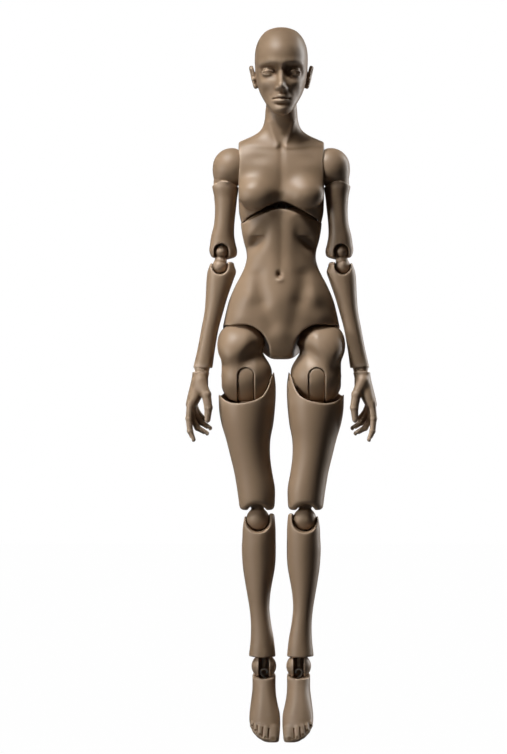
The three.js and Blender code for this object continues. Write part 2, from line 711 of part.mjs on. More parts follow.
function buildLowerTorso() {
  const outer = torsoSkin(() => SADDLE_HEIGHT, abdomenRim, 0, 12, 18);
  const dome = common(waistDome(0), block(point(-40, -40, WAIST.z - 6), point(40, 40, CROWN_HEIGHT)));
  const seatRim = cut(outer, waistGroove());
  const hollow = torsoSkin(() => TORSO_HOLLOW_BOTTOM, () => TORSO_HOLLOW_TOP, TORSO_WALL, 3, 10);
  const wayTop = point(0, WAIST.y, WAIST.z + WAIST_DOME + 2);
  const way = hole(point(0, 1, TORSO_HOLLOW_TOP - 4), wayTop, TORSO_BORE);
  const seat = hipForm(FACE_GAP + HIP_FACET);
  const floor = SADDLE_HEIGHT - 10;
  const front = frontPrism(legOpening(FACE_GAP, LEG_OPENING_FRONT, floor), -HALF_SPACE, HIP.y);
  const back = frontPrism(legOpening(FACE_GAP, LEG_OPENING_BACK, floor), HIP.y, HALF_SPACE);
  const bore = hole(CORD_ENTRY, point(HIP.x - 16, HIP.y, TORSO_HOLLOW_BOTTOM + 14), HIP_BORE);
  const leg = join(seat, front, back, bore);
  add('lower_torso', cut(join(seatRim, dome), hollow, way, leg, leg.mirror([1, 0, 0])), resin());
}

// The rim of the abdomen stands up round the dome, and this takes out what lies between them
function waistGroove() {
  const floor = ABDOMEN_RIM_SIDE - 2.5;
  const above = CHEST_RIM_FRONT + 3.5;
  return torsoSkin(() => floor, () => above, ABDOMEN_RIM_WALL, 1, 16);
}

// Shoulder
const STEM_RADIUS = 3.4; // stem of the shoulder core
const FLANGE_RADIUS = 6.5; // disc that keeps the stem in the chest
const FLANGE_REACH = 19.5; // how far from the middle the disc's room ends
const FLANGE_THICKNESS = 3;
const CORD_TURN_ROOM = 3.6; // radius of the room where the elastic turns the corner
const SHOULDER_RAISE = 60; // degrees the arm lifts sideways
const SEAT_SLOPE = 0.23; // rise of the conical seat between cap and upper arm
const SEAT_RADIUS = 10; // radius of that seat
const UPPER_ARM_TOP = SHOULDER.z - 13.9;
const SPIGOT_RADIUS = 5; // spigot of the cap in the upper arm
const SPIGOT_LENGTH = 7;

// Share of the way from shoulder to elbow, sideways shift, half width, front, back
const UPPER_ARM = [
  [0.1, 3.6, 10.4, -11.4, 11.4],
  [0.21, 4.1, 10, -10.6, 10.6],
  [0.3, 3, 9.7, -10.2, 10.2],
  [0.49, 1, 8.9, -9.8, 9.6],
  [0.68, 0.4, 8.6, -9.2, 9.2],
  [0.82, 0.4, 9.7, -9.2, 9.4],
  [0.92, -0.6, 10.8, -9.4, 9.8],
  [0.99, -1.5, 11.7, -9.2, 9.8],
  [1.05, -2.4, 11, -8.4, 9],
  [1.1, -2.6, 9.4, -7.4, 8],
];
const UPPER_ARM_END = ELBOW_UPPER.z - 6.6;

// The line of the upper arm below the shoulder, about which it swivels
function upperArmAxis(z) {
  const f = (SHOULDER.z - z) / (SHOULDER.z - ELBOW_UPPER.z);
  const [, shift] = between(UPPER_ARM, f);
  return point(SHOULDER.x + (ELBOW_UPPER.x - SHOULDER.x) * f + shift, 0, z);
}

const ARM_TOP = upperArmAxis(UPPER_ARM_TOP);
const ARM_DIRECTION = new THREE.Vector3().subVectors(ARM_TOP, ELBOW_UPPER).normalize();

function alongArm(distanceBelowTop) {
  return ARM_TOP.clone().addScaledVector(ARM_DIRECTION, -distanceBelowTop);
}

function buildShoulderCore() {
  const knob = ball(SHOULDER, SHOULDER_CORE_BALL, SMALL_SIDES);
  const inner = point(FLANGE_REACH - FLANGE_THICKNESS - BEARING_GAP, 0, SHOULDER.z);
  const stem = rod(inner, SHOULDER, STEM_RADIUS);
  const disc = rod(inner, point(inner.x + FLANGE_THICKNESS, 0, SHOULDER.z), FLANGE_RADIUS);
  const bore = hole(point(inner.x - 1, 0, SHOULDER.z), SHOULDER, ARM_BORE);
  const exit = hole(SHOULDER, alongArm(0), ARM_BORE);
  const turn = ball(SHOULDER, CORD_TURN_ROOM, SMALL_SIDES);
  addPair('shoulder_core', cut(join(knob, stem, disc), bore, exit, turn), resin);
}

function buildShoulderCap() {
  const sphere = ball(SHOULDER, SHOULDER_BALL);
  const sleeve = limb(SHOULDER, ELBOW_UPPER, UPPER_ARM, () => SHOULDER.z - 4, () => UPPER_ARM_TOP - 6, 3);
  const seat = rod(alongArm(SEAT_RADIUS), alongArm(-FACE_GAP), SEAT_RADIUS / SEAT_SLOPE, 0, LIMB_SIDES);
  const spigot = rod(alongArm(-3), alongArm(SPIGOT_LENGTH), SPIGOT_RADIUS);
  const pocket = cup(SHOULDER, SHOULDER_CORE_BALL + BALL_GAP, SMALL_SIDES);
  // The stem leaves towards the chest, and the slot lets it swing up over the top of the ball
  const slotHalf = STEM_RADIUS + BEARING_GAP;
  const reach = SHOULDER_BALL + 4;
  const slots = [];
  const steps = 3;
  for (let i = 0; i <= steps; i++) {
    const lift = (THREE.MathUtils.degToRad(SHOULDER_RAISE) * i) / steps;
    const end = point(SHOULDER.x - reach * Math.cos(lift), 0, SHOULDER.z + reach * Math.sin(lift));
    slots.push(hole(SHOULDER, end, slotHalf));
  }
  const swing = THREE.MathUtils.degToRad(SHOULDER_RAISE);
  const wedge = new THREE.Shape();
  wedge.moveTo(SHOULDER.x, SHOULDER.z);
  wedge.lineTo(SHOULDER.x - reach, SHOULDER.z);
  wedge.absarc(SHOULDER.x, SHOULDER.z, reach, Math.PI, Math.PI - swing, true);
  wedge.closePath();
  const slot = join(frontPrism(wedge, -slotHalf * 0.9, slotHalf * 0.9, 4), slots[0], slots[steps]);
  const bore = hole(SHOULDER, alongArm(SPIGOT_LENGTH + 1), ARM_BORE + 1);
  const outer = join(cut(join(sphere, sleeve), seat), spigot);
  addPair('shoulder_cap', cut(outer, pocket, slot, bore), resin);
}

// Upper arm and elbow
const ELBOW_SLOT = 6.1; // half width of the slot, from the front through to the pocket
const ARM_HOLLOW = 4.6;

function buildUpperArm() {
  const tilt = (ARM_TOP.x - ELBOW_UPPER.x) / (ARM_TOP.z - ELBOW_UPPER.z);
  const seat = (angle) => UPPER_ARM_TOP - SEAT_RADIUS * (SEAT_SLOPE + tilt * Math.cos(angle));
  const end = rim(UPPER_ARM_END + 0.6, UPPER_ARM_END - 1.2, UPPER_ARM_END + 0.4, UPPER_ARM_END + 0.4);
  const shape = limb(SHOULDER, ELBOW_UPPER, UPPER_ARM, seat, end, 8, LIMB_SIDES, SEAT_RADIUS * SEAT_SLOPE);
  const socket = hole(alongArm(-4), alongArm(SPIGOT_LENGTH + FACE_GAP), SPIGOT_RADIUS + BEARING_GAP);
  const bottom = point(ELBOW_UPPER.x, 0, ELBOW_UPPER.z + 3);
  const hollow = hole(alongArm(SPIGOT_LENGTH), bottom, ARM_HOLLOW, ARM_HOLLOW - 1.6);
  const pocket = cup(ELBOW_UPPER, ELBOW_UPPER_BALL + BALL_GAP, SMALL_SIDES);
  const mouth = hole(ELBOW_UPPER, down(ELBOW_UPPER, 20), ELBOW_UPPER_BALL + BALL_GAP, undefined, SMALL_SIDES);
  const slot = frontPrism(arch(ELBOW_UPPER, ELBOW_SLOT, ELBOW_UPPER.z - 20), -20, 0, 5);
  addPair('upper_arm', cut(shape, socket, hollow, pocket, mouth, slot), resin);
}

// A core with two knobs, a neck between them and a way through for the elastic
function doubleKnob(upper, upperRadius, lower, lowerRadius, neck, bore) {
  const upperKnob = ball(upper, upperRadius, SMALL_SIDES);
  const lowerKnob = ball(lower, lowerRadius, SMALL_SIDES);
  const knobs = join(upperKnob, lowerKnob, rod(upper, lower, neck));
  const along = new THREE.Vector3().subVectors(upper, lower).normalize();
  const top = upper.clone().addScaledVector(along, upperRadius + 1);
  const bottom = lower.clone().addScaledVector(along, -lowerRadius - 1);
  return cut(knobs, hole(bottom, top, bore));
}

const ELBOW_NECK = 3.6;
const KNEE_NECK = 6;

// Forearm, wrist and hand
const FOREARM = [
  [-0.05, -1.6, 9.4, -8.8, 9.2],
  [0, -1.9, 10.6, -9.6, 10],
  [0.055, -2.6, 12, -10, 10.6],
  [0.13, -2.3, 11.4, -10, 10.8],
  [0.29, -1.9, 9.3, -9.4, 9.8],
  [0.44, -1.7, 7.9, -8.6, 8.6],
  [0.6, -0.9, 7.3, -7.8, 7.8],
  [0.75, -0.7, 7.3, -7.2, 7.2],
  [0.87, -0.6, 7.6, -7, 7],
  [0.95, -0.5, 8, -7.2, 7.2],
  [1, -0.4, 8.1, -7.2, 7.2],
];
const FOREARM_RIM_FRONT = ELBOW_LOWER.z - 7.2;
const FOREARM_RIM_BACK = ELBOW_LOWER.z + 0.8;
const FOREARM_EARS = ELBOW_LOWER.z + 3.6;
const FOREARM_END = WRIST.z + 2.1;
const WRIST_DIRECTION = new THREE.Vector3().subVectors(ELBOW_LOWER, WRIST).normalize();

function alongForearm(distanceBelowWrist) {
  return WRIST.clone().addScaledVector(WRIST_DIRECTION, -distanceBelowWrist);
}

function buildForearm() {
  const top = earedRim(FOREARM_RIM_FRONT, FOREARM_RIM_BACK, FOREARM_EARS, 0.35, 0.8);
  const shape = limb(ELBOW_LOWER, WRIST, FOREARM, top, () => FOREARM_END, 9);
  const socket = cup(ELBOW_LOWER, ELBOW_LOWER_BALL + BALL_GAP, SMALL_SIDES);
  const mouth = straightHole(ELBOW_LOWER, down(ELBOW_LOWER, -20), ELBOW_LOWER_BALL + BALL_GAP, SMALL_SIDES);
  const hollow = hole(down(ELBOW_LOWER, 4), alongForearm(-4), ARM_HOLLOW - 1.2, ARM_HOLLOW - 1.6);
  const seat = cup(WRIST, WRIST_BALL + BALL_GAP, SMALL_SIDES);
  addPair('forearm', cut(shape, socket, mouth, hollow, seat), resin);
}

const WRIST_SLOT = 1.9; // half width of the slot that the hook swings in

function buildWristBall() {
  const bore = hole(alongForearm(-12), alongForearm(2), ARM_BORE + 0.6);
  const slot = block(
    point(WRIST.x - 14, WRIST.y - WRIST_SLOT, WRIST.z - 14),
    point(WRIST.x + 14, WRIST.y + WRIST_SLOT, WRIST.z)
  );
  addPair('wrist_ball', cut(ball(WRIST, WRIST_BALL, SMALL_SIDES), bore, slot), resin);
}

// A tapering digit along a curve through its joints, closed at a round tip
function digit(places, radii, sides = 5) {
  const curve = new THREE.CatmullRomCurve3(places);
  const rings = 5;
  const reach = radii.map((radius, i) => [i / (radii.length - 1), radius]);
  return solid(
    skin(rings, sides, (angle, share) => {
      const tip = share === 1;
      const t = 1 - (tip ? 1 : (share * rings) / (rings - 1));
      const along = curve.getTangentAt(1 - t);
      const across = new THREE.Vector3().crossVectors(along, point(0, 1, 0)).normalize();
      const deep = new THREE.Vector3().crossVectors(across, along);
      const radius = between(reach, 1 - t)[1] * (tip ? 0.5 : 1);
      const centre = curve.getPointAt(1 - t);
      if (tip) centre.addScaledVector(along, radii[radii.length - 1] * 0.8);
      centre.addScaledVector(across, radius * Math.cos(angle));
      return centre.addScaledVector(deep, -radius * Math.sin(angle));
    })
  );
}

// Fingers from knuckle to tip, as steps from the wrist centre: outwards, towards the back, up
const KNUCKLES = [
  { base: [10.6, -8.2, -29], middle: [13.2, -8.6, -42], last: [11.2, -9, -52.4], tip: [7.2, -9.4, -59.6] },
  { base: [11.2, -3, -30], middle: [12.6, -3.2, -43.6], last: [3.6, -3.6, -51], tip: [-4.6, -4.2, -54] },
  { base: [11, 2, -29.4], middle: [11.4, 2, -41.6], last: [2.4, 1.4, -47.6], tip: [-6.4, 0.6, -49.6] },
  { base: [10, 6.6, -27.4], middle: [10.6, 7, -36.6], last: [4, 6.4, -42], tip: [-2.4, 5.6, -43.6] },
];
const FINGER_RADII = [3.2, 2.7, 2.4, 1.9];
const THUMB = [[2.4, -6.6, -11], [-4.2, -11.2, -22], [-5.8, -12, -33], [-4.8, -12, -42.4]];
const THUMB_RADII = [4.6, 3.7, 3, 2.3];
const HAND_HOOK_ROOM = 3.2; // radius of the room for the hook in the hand
const HAND_RIM = WRIST.z - 2.3;
const PALM_TOP = 0; // heights against the wrist centre
const PALM_BOTTOM = -33;
// Share of the way down, middle, half width, front, back
const PALM = [
  [0, 0.4, 7, -7, 7],
  [0.2, 1.8, 7.4, -7.8, 7.4],
  [0.45, 4.6, 7, -10, 8.6],
  [0.7, 8, 5.6, -11.2, 9.8],
  [0.9, 10, 4.2, -11, 9.6],
  [1, 10.8, 2.6, -9.6, 8.4],
];

function fromWrist([out, back, up]) {
  return point(WRIST.x + out, WRIST.y + back, WRIST.z + up);
}

function buildHand() {
  const hand = [];
  const palm = skin(5, 8, (angle, share) => {
    const [, middle, half, front, back] = between(PALM, 1 - share);
    const [x, y] = oval(angle, middle, half, front, back, 2.3);
    return fromWrist([x, y, PALM_TOP + (PALM_BOTTOM - PALM_TOP) * (1 - share)]);
  });
  hand.push(solid(palm));
  for (const { base, middle, last, tip } of KNUCKLES) {
    hand.push(digit([base, middle, last, tip].map(fromWrist), FINGER_RADII));
  }
  hand.push(digit(THUMB.map(fromWrist), THUMB_RADII));
  const seat = cup(WRIST, WRIST_BALL + BALL_GAP, SMALL_SIDES);
  const above = block(
    point(0, -HALF_SPACE, HAND_RIM),
    point(HALF_SPACE * 2, HALF_SPACE, HAND_RIM + HALF_SPACE)
  );
  const hookRoom = hole(WRIST, alongForearm(HOOK_DROP + 2.8), HAND_HOOK_ROOM);
  const pin = hookPin(WRIST, WRIST_DIRECTION, 1, HAND_HOOK_ROOM);
  addPair('hand', join(cut(join(...hand), seat, above, hookRoom), pin), resin);
}

// Hooks: a loop that holds the elastic, on a shank that ends in a hook round a seat
const HOOK_WIRE = 0.8; // radius
const HOOK_DROP = 12; // from the joint centre to the lower bend of a hook
const HOOK_PIN = 0.9; // radius of the pin that a hook's lower bend holds on to
const HOOK_PIN_DROP = 11; // from the joint centre to the pin

function bentWire(places, radius) {
  const curve = new THREE.CatmullRomCurve3(places);
  const section = new THREE.Shape();
  section.absarc(0, 0, radius, 0, 2 * Math.PI, false);
  const options = { steps: places.length, curveSegments: 3, extrudePath: curve, bevelEnabled: false };
  return new THREE.ExtrudeGeometry(section, options);
}

// The S of a hook: sideways and along, from its upper bend to its lower one
const HOOK_S = [
  [-2.1, -4.8],
  [-1.9, -2.8],
  [0, -1.9],
  [1.9, -2.8],
  [2.1, -4.6],
  [0.7, -6.6],
  [-0.9, -8.3],
  [-2.1, -10.4],
  [-1.7, -12.4],
  [0, -13.2],
  [1.7, -12.4],
  [2.1, -10.8],
];

function hookAt(centre, direction, size) {
  const side = point(direction.z, 0, -direction.x);
  const places = HOOK_S.map(([across, along]) =>
    centre.clone().addScaledVector(side, across * size).addScaledVector(direction, along * size)
  );
  return solid(bentWire(places, HOOK_WIRE * size));
}

// The pin lies across the room that a hook hangs in
function hookPin(centre, direction, size, room) {
  const middle = centre.clone().addScaledVector(direction, -HOOK_PIN_DROP * size);
  const half = point(0, room + 0.6, 0);
  return rod(middle.clone().sub(half), middle.clone().add(half), HOOK_PIN * size);
}

// Upper thigh: the form that turns in the pelvis, fused to the ball with the arched slot
const CORD_ENTRY = point(HIP.x - 4.4, HIP.y, HIP.z + HIP_BALL - 3); // where the elastic enters the thigh
const THIGH_SLOT = 7.6; // half width
const TONGUE_RECESS = 2.6; // how far the tongue lies below the ball's surface
const TONGUE_STEM = 5.6; // radius of the stem that the lower thigh swivels on
const TONGUE_STEM_LENGTH = 36; // from the ball's centre
const UP = point(0, 0, 1);

function buildUpperThigh() {
  const outer = join(hipForm(0), ball(THIGH, THIGH_BALL, THIGH_SIDES));
  const pocketRadius = (THIGH_BALL - TONGUE_RECESS + BALL_GAP) / Math.cos(Math.PI / BALL_SIDES);
  const pocket = wheel(THIGH, pocketRadius, THIGH_SLOT);
  const stemRoom = TONGUE_STEM + BEARING_GAP;
  const slot = frontPrism(arch(THIGH, THIGH_SLOT, THIGH.z - HALF_SPACE), -HALF_SPACE, stemRoom);
  const bore = hole(
    point(CORD_ENTRY.x - 1, CORD_ENTRY.y, CORD_ENTRY.z + 5),
    point(THIGH.x, THIGH.y, THIGH.z + 15),
    LEG_BORE + 1.6
  );
  addPair('upper_thigh', cut(outer, pocket, slot, bore), resin);
}

function buildThighCore() {
  const radius = THIGH_BALL - TONGUE_RECESS;
  const half = THIGH_SLOT - BEARING_GAP;
  const tongue = common(
    wheel(THIGH, radius, half),
    frontPrism(arch(THIGH, half, THIGH.z - HALF_SPACE), -HALF_SPACE, HALF_SPACE)
  );
  const stem = rod(down(THIGH, 10), down(THIGH, TONGUE_STEM_LENGTH), TONGUE_STEM);
  const bore = hole(down(THIGH, -20), down(THIGH, TONGUE_STEM_LENGTH + 1), LEG_BORE + 0.4);
  addPair('thigh_core', cut(join(tongue, stem), bore), resin);
}

// Lower thigh and knee
// Share of the way from thigh to knee centre, sideways shift, half width, front, back
const LOWER_THIGH = [
  [-0.02, -0.7, 23.4, -22.6, 22.8],
  [0.07, -0.4, 24, -23.8, 23.6],
  [0.17, 0.5, 24, -24, 24],
  [0.28, 1.7, 23.4, -23.6, 24],
  [0.39, 2.4, 21.8, -22.4, 23.2],
  [0.52, 2.9, 18.6, -20.2, 21.2],
  [0.65, 2.6, 16.8, -18.4, 19.4],
  [0.78, 1.4, 16, -17.2, 18],
  [0.91, 0.3, 16, -16.8, 16.8],
  [1.01, 0.5, 15.1, -16, 15.4],
  [1.08, 1, 13.8, -14.4, 14],
];
const THIGH_RIM = rim(THIGH.z - 22, THIGH.z - 4, THIGH.z - 12, THIGH.z - 1);
const THIGH_END = { front: KNEE_UPPER.z - 4.4, back: KNEE_UPPER.z + 5, sides: KNEE_UPPER.z - 8.4 };
const THIGH_HOLLOW = 8; // radius of the hollow along the thigh
const SHIN_HOLLOW = 5;

function buildLowerThigh() {
  const end = (angle) => {
    const c = Math.abs(Math.cos(angle));
    const edge = Math.sin(angle) < 0 ? THIGH_END.front : THIGH_END.back;
    return edge + (THIGH_END.sides - edge) * Math.min(c * 1.25, 1) ** 2;
  };
  const shape = limb(THIGH, KNEE_UPPER, LOWER_THIGH, THIGH_RIM, end, 9);
  const seat = cup(THIGH, THIGH_BALL + BALL_GAP, THIGH_SIDES);
  const stemEnd = down(THIGH, TONGUE_STEM_LENGTH + FACE_GAP);
  const socket = hole(down(THIGH, THIGH_BALL - 4), stemEnd, TONGUE_STEM + BEARING_GAP);
  const hollowTop = down(THIGH, TONGUE_STEM_LENGTH - 1);
  const hollow = hole(hollowTop, down(KNEE_UPPER, -6), THIGH_HOLLOW - 3, THIGH_HOLLOW - 2);
  const pocket = cup(KNEE_UPPER, KNEE_UPPER_BALL + BALL_GAP, SMALL_SIDES);
  const mouth = hole(KNEE_UPPER, down(KNEE_UPPER, 20), KNEE_UPPER_BALL + BALL_GAP, undefined, SMALL_SIDES);
  const slot = frontPrism(arch(KNEE_UPPER, KNEE_NECK + 1, KNEE_UPPER.z - 20), 0, 20, 8);
  addPair('lower_thigh', cut(shape, seat, socket, hollow, pocket, mouth, slot), resin);
}

// Share of the way from knee to ankle centre, sideways shift, half width, front, back
const SHIN = [
  [-0.06, -2, 11.4, -10, 9.6],
  [-0.02, -1.6, 12.6, -12, 11.6],
  [0.06, -0.8, 13.8, -13.4, 13],
  [0.12, -0.4, 14, -13.2, 14.4],
  [0.2, 0.4, 14.3, -12.6, 16],
  [0.28, 0.3, 14.3, -11.8, 16.4],
  [0.39, 1.2, 12.2, -10.8, 14.6],
  [0.5, 1.9, 9.8, -9.8, 11],
  [0.61, 1.7, 8.2, -8.8, 9],
  [0.71, 1, 8.5, -8.8, 9],
  [0.82, 0.5, 9.8, -9.6, 10.4],
  [0.94, 1.1, 11.4, -11, 12],
];
const SHIN_RIM_FRONT = KNEE_LOWER.z - 11.9;
const SHIN_RIM_BACK = KNEE_LOWER.z - 9.9;
const SHIN_EARS = KNEE_LOWER.z + 5.1;
const SHIN_END = ANKLE.z + 7.8;

function buildShin() {
  const top = earedRim(SHIN_RIM_FRONT, SHIN_RIM_BACK, SHIN_EARS, 0.5, 0.86);
  const shape = limb(KNEE_LOWER, ANKLE, SHIN, top, (angle) => SHIN_END + 0.8 * Math.sin(angle) ** 2, 10);
  const socket = cup(KNEE_LOWER, KNEE_LOWER_BALL + BALL_GAP, SMALL_SIDES);
  const mouth = straightHole(KNEE_LOWER, down(KNEE_LOWER, -20), KNEE_LOWER_BALL + BALL_GAP, SMALL_SIDES);
  const hollow = hole(down(KNEE_LOWER, 6), down(ANKLE, -6), SHIN_HOLLOW, SHIN_HOLLOW - 1);
  const seat = cup(ANKLE, ANKLE_BALL + BALL_GAP, SMALL_SIDES);
  addPair('shin', cut(shape, socket, mouth, hollow, seat), resin);
}

// Ankle and foot
const ANKLE_SLOT = 4.4; // half width
const ANKLE_SLOT_DEPTH = 3.6; // how far the slot passes behind the ball's centre
const ANKLE_HOOK_SIZE = 1.25; // against the hook of the wrist

function buildAnkleBall() {
  const slot = block(
    point(ANKLE.x - ANKLE_SLOT, ANKLE.y - 20, ANKLE.z - 20),
    point(ANKLE.x + ANKLE_SLOT, ANKLE.y + ANKLE_SLOT_DEPTH, ANKLE.z + 4)
  );
  const bore = hole(ANKLE, down(ANKLE, -20), LEG_BORE + 1);
  addPair('ankle_ball', cut(ball(ANKLE, ANKLE_BALL, SMALL_SIDES), slot, bore), resin);
}

// Drawn height, middle, half width, front, back: the foot points down and forwards
const FOOT = [
  [0, 13.8, 3.4, -31, -26],
  [2.5, 13.6, 7, -33.4, -22],
  [6, 13.4, 10, -33.6, -17.6],
  [11, 13.4, 12.2, -31.6, -13],
  [17, 13.7, 13, -28.6, -8.6],
  [24, 14.1, 12.6, -25, -3.4],
  [31, 14.5, 11.4, -21.4, 4],
  [38, 14.6, 10.4, -17.6, 11.4],
  [44, 14.5, 9.8, -14.4, 14.4],
  [50, 14.5, 9.7, -11.8, 14],
  [56, 14.5, 9.8, -10, 12.6],
  [61, 14.6, 9.9, -9.4, 12],
];
const FOOT_RIM = { front: ANKLE.z - 10.6, back: ANKLE.z - 3.4, sides: ANKLE.z - 7.8 };
const TOE_SLITS = [20.6, 16.4, 12.2, 8]; // between the toes, from the little toe to the big one
const TOE_SLIT_HALF = 0.35;
const TOE_SLIT_TOP = 15;
const HOOK_ROOM = 4; // half width of the room for the hook

function buildFoot() {
  const top = rim(FOOT_RIM.front, FOOT_RIM.back, FOOT_RIM.sides, FOOT_RIM.sides);
  const shape = solid(
    skin(10, LIMB_SIDES, (angle, share) => {
      const z = top(angle) * share;
      const [, middle, half, front, back] = between(FOOT, drawnHeight(z));
      const [x, y] = oval(angle, middle, half, front, back, 2.2);
      return point(x, y, z);
    })
  );
  const seat = cup(ANKLE, ANKLE_BALL + BALL_GAP, SMALL_SIDES);
  const room = hole(down(ANKLE, 4), down(ANKLE, (HOOK_DROP + 2.8) * ANKLE_HOOK_SIZE), HOOK_ROOM);
  const pin = hookPin(ANKLE, UP, ANKLE_HOOK_SIZE, HOOK_ROOM);
  // The slits are shorter towards both sides of the foot
  const slits = TOE_SLITS.map((x) => {
    const top = TOE_SLIT_TOP - Math.abs(x - 12) * 0.25;
    const back = -22 - TOE_SLIT_TOP * 0.25;
    return block(point(x - TOE_SLIT_HALF, -HALF_SPACE, -1), point(x + TOE_SLIT_HALF, back, top));
  });
  addPair('foot', join(cut(shape, seat, room, ...slits), pin), resin);
}

// The head hangs on this hook: a ring in the neck, a shank and a bar across the floor of the skull
const NECK_WIRE = 1.2; // radius
const NECK_BAR_HALF_LENGTH = 7;
const NECK_BAR_GAP = 0.8; // room for the floor to tilt under the bar as the head nods
const NECK_RING = 3; // radius to the middle of the wire
const NECK_RING_DROP = 6; // from the neck centre to the ring's centre

function buildNeckHook() {
  const centre = down(NECK, NECK_RING_DROP);
  const places = [];
  const steps = 10;
  for (let i = 0; i <= steps; i++) {
    const a = Math.PI / 2 + (1.8 * Math.PI * i) / steps;
    places.push(point(centre.x + NECK_RING * Math.cos(a), centre.y, centre.z + NECK_RING * Math.sin(a)));
  }
  const barHeight = NECK.z + NECK_BALL + SKULL_WALL + NECK_BAR_GAP + NECK_WIRE;
  const ring = solid(bentWire(places, NECK_WIRE));
  const shankFoot = point(NECK.x, NECK.y, centre.z + NECK_RING - 0.4);
  const shank = rod(shankFoot, point(NECK.x, NECK.y, barHeight), NECK_WIRE);
  const bar = rod(
    point(NECK.x - NECK_BAR_HALF_LENGTH, NECK.y, barHeight),
    point(NECK.x + NECK_BAR_HALF_LENGTH, NECK.y, barHeight),
    NECK_WIRE,
    undefined,
    8
  );
  add('neck_hook', join(ring, shank, bar), steel());
}

// A curve with a step at each of its places, so that steps are close where it bends
class PlacedCurve extends THREE.CatmullRomCurve3 {
  getPointAt(share) {
    return this.getPoint(share);
  }

  getTangentAt(share) {
    return this.getTangent(share);
  }
}

// Elastic cords, along the bores that hold them
function cord(places, radius) {
  const curve = new PlacedCurve(places, false, 'centripetal');
  const section = new THREE.Shape();
  section.absarc(0, 0, radius, 0, 2 * Math.PI, false);
  return new THREE.ExtrudeGeometry(section, {
    steps: places.length - 1,
    curveSegments: CORD_SIDES / 2,
    extrudePath: curve,
    bevelEnabled: false,
  });
}

const LEG_CORD_APART = 1.8; // half the distance between the two cords in the neck

function buildCords() {
  const hookTop = HOOK_S[2][1] + HOOK_WIRE + FACE_GAP;
  const left = [
    alongForearm(-hookTop),
    alongForearm(-24),
    alongForearm(-56),
    ELBOW_LOWER.clone(),
    ELBOW_UPPER.clone(),
    alongArm(40),
    alongArm(20),
    alongArm(8),
    alongArm(2),
    SHOULDER.clone().add(point(2.6, 0, -6.3)),
    SHOULDER.clone().add(point(0.9, 0, -2.6)),
    SHOULDER.clone().add(point(-0.6, 0, -1.2)),
    SHOULDER.clone().add(point(-3, 0, -0.2)),
    SHOULDER.clone().add(point(-6, 0, 0)),
    SHOULDER.clone().add(point(-14, 0, 0)),
  ];
  const right = left.map((p) => point(-p.x, p.y, p.z)).reverse();
  add('arm_elastic', solid(cord([...left, point(0, 0, SHOULDER.z), ...right], ARM_CORD)), elastic());
  const ringBottom = NECK.z - NECK_RING_DROP - NECK_RING - NECK_WIRE - FACE_GAP;
  const ankleTop = ANKLE.z + (HOOK_S[2][1] + HOOK_WIRE) * ANKLE_HOOK_SIZE + FACE_GAP;
  const leg = [
    point(LEG_CORD_APART, NECK.y, ringBottom),
    point(LEG_CORD_APART, 3, 512),
    point(LEG_CORD_APART + 0.4, 4, 500),
    point(4, 5.6, SHOULDER.z),
    point(4.4, 4, 462),
    point(4.6, 1, 440),
    point(5, 1, 410),
    point(9, 1, 385),
    point(17, 1, 366),
    CORD_ENTRY.clone(),
    THIGH.clone(),
    down(THIGH, TONGUE_STEM_LENGTH),
    point(KNEE_UPPER.x + 1.4, 0, KNEE_UPPER.z + 16),
    KNEE_UPPER.clone(),
    KNEE_LOWER.clone(),
    point(KNEE_LOWER.x - 1.2, 0, KNEE_LOWER.z - 30),
    point(ANKLE.x + 1, ANKLE.y, ANKLE.z + 30),
    point(ANKLE.x, ANKLE.y, ankleTop),
  ];
  addPair('leg_elastic', solid(cord(leg, LEG_CORD)), elastic);
}

buildHead();
buildNeckHook();
buildChest();
buildLowerTorso();
buildShoulderCore();
buildShoulderCap();
buildUpperArm();
addPair(
  'elbow_core',
  doubleKnob(ELBOW_UPPER, ELBOW_UPPER_BALL, ELBOW_LOWER, ELBOW_LOWER_BALL, ELBOW_NECK, ARM_BORE),
  resin
);
buildForearm();
buildWristBall();
buildHand();
addPair('wrist_hook', hookAt(WRIST, WRIST_DIRECTION, 1), steel);
buildUpperThigh();
buildThighCore();
buildLowerThigh();
addPair(
  'knee_core',
  doubleKnob(KNEE_UPPER, KNEE_UPPER_BALL, KNEE_LOWER, KNEE_LOWER_BALL, KNEE_NECK, LEG_BORE),
  resin
);
buildShin();
buildAnkleBall();
buildFoot();
addPair('ankle_hook', hookAt(ANKLE, UP, ANKLE_HOOK_SIZE), steel);
buildCords();

export default figure;
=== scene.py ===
# %% [markdown]
# A strung figure body of cast resin. The solid model gives every casting its place, its joint
# and its rough form. Here each casting gets its sculpted skin, and the hooks, magnets and
# elastics get their own pieces and finishes.
#
# All lengths in the shaping cells are millimetres, and heights are counted from the toe tips,
# as on the drawing. They are turned into metres when a mesh is made.

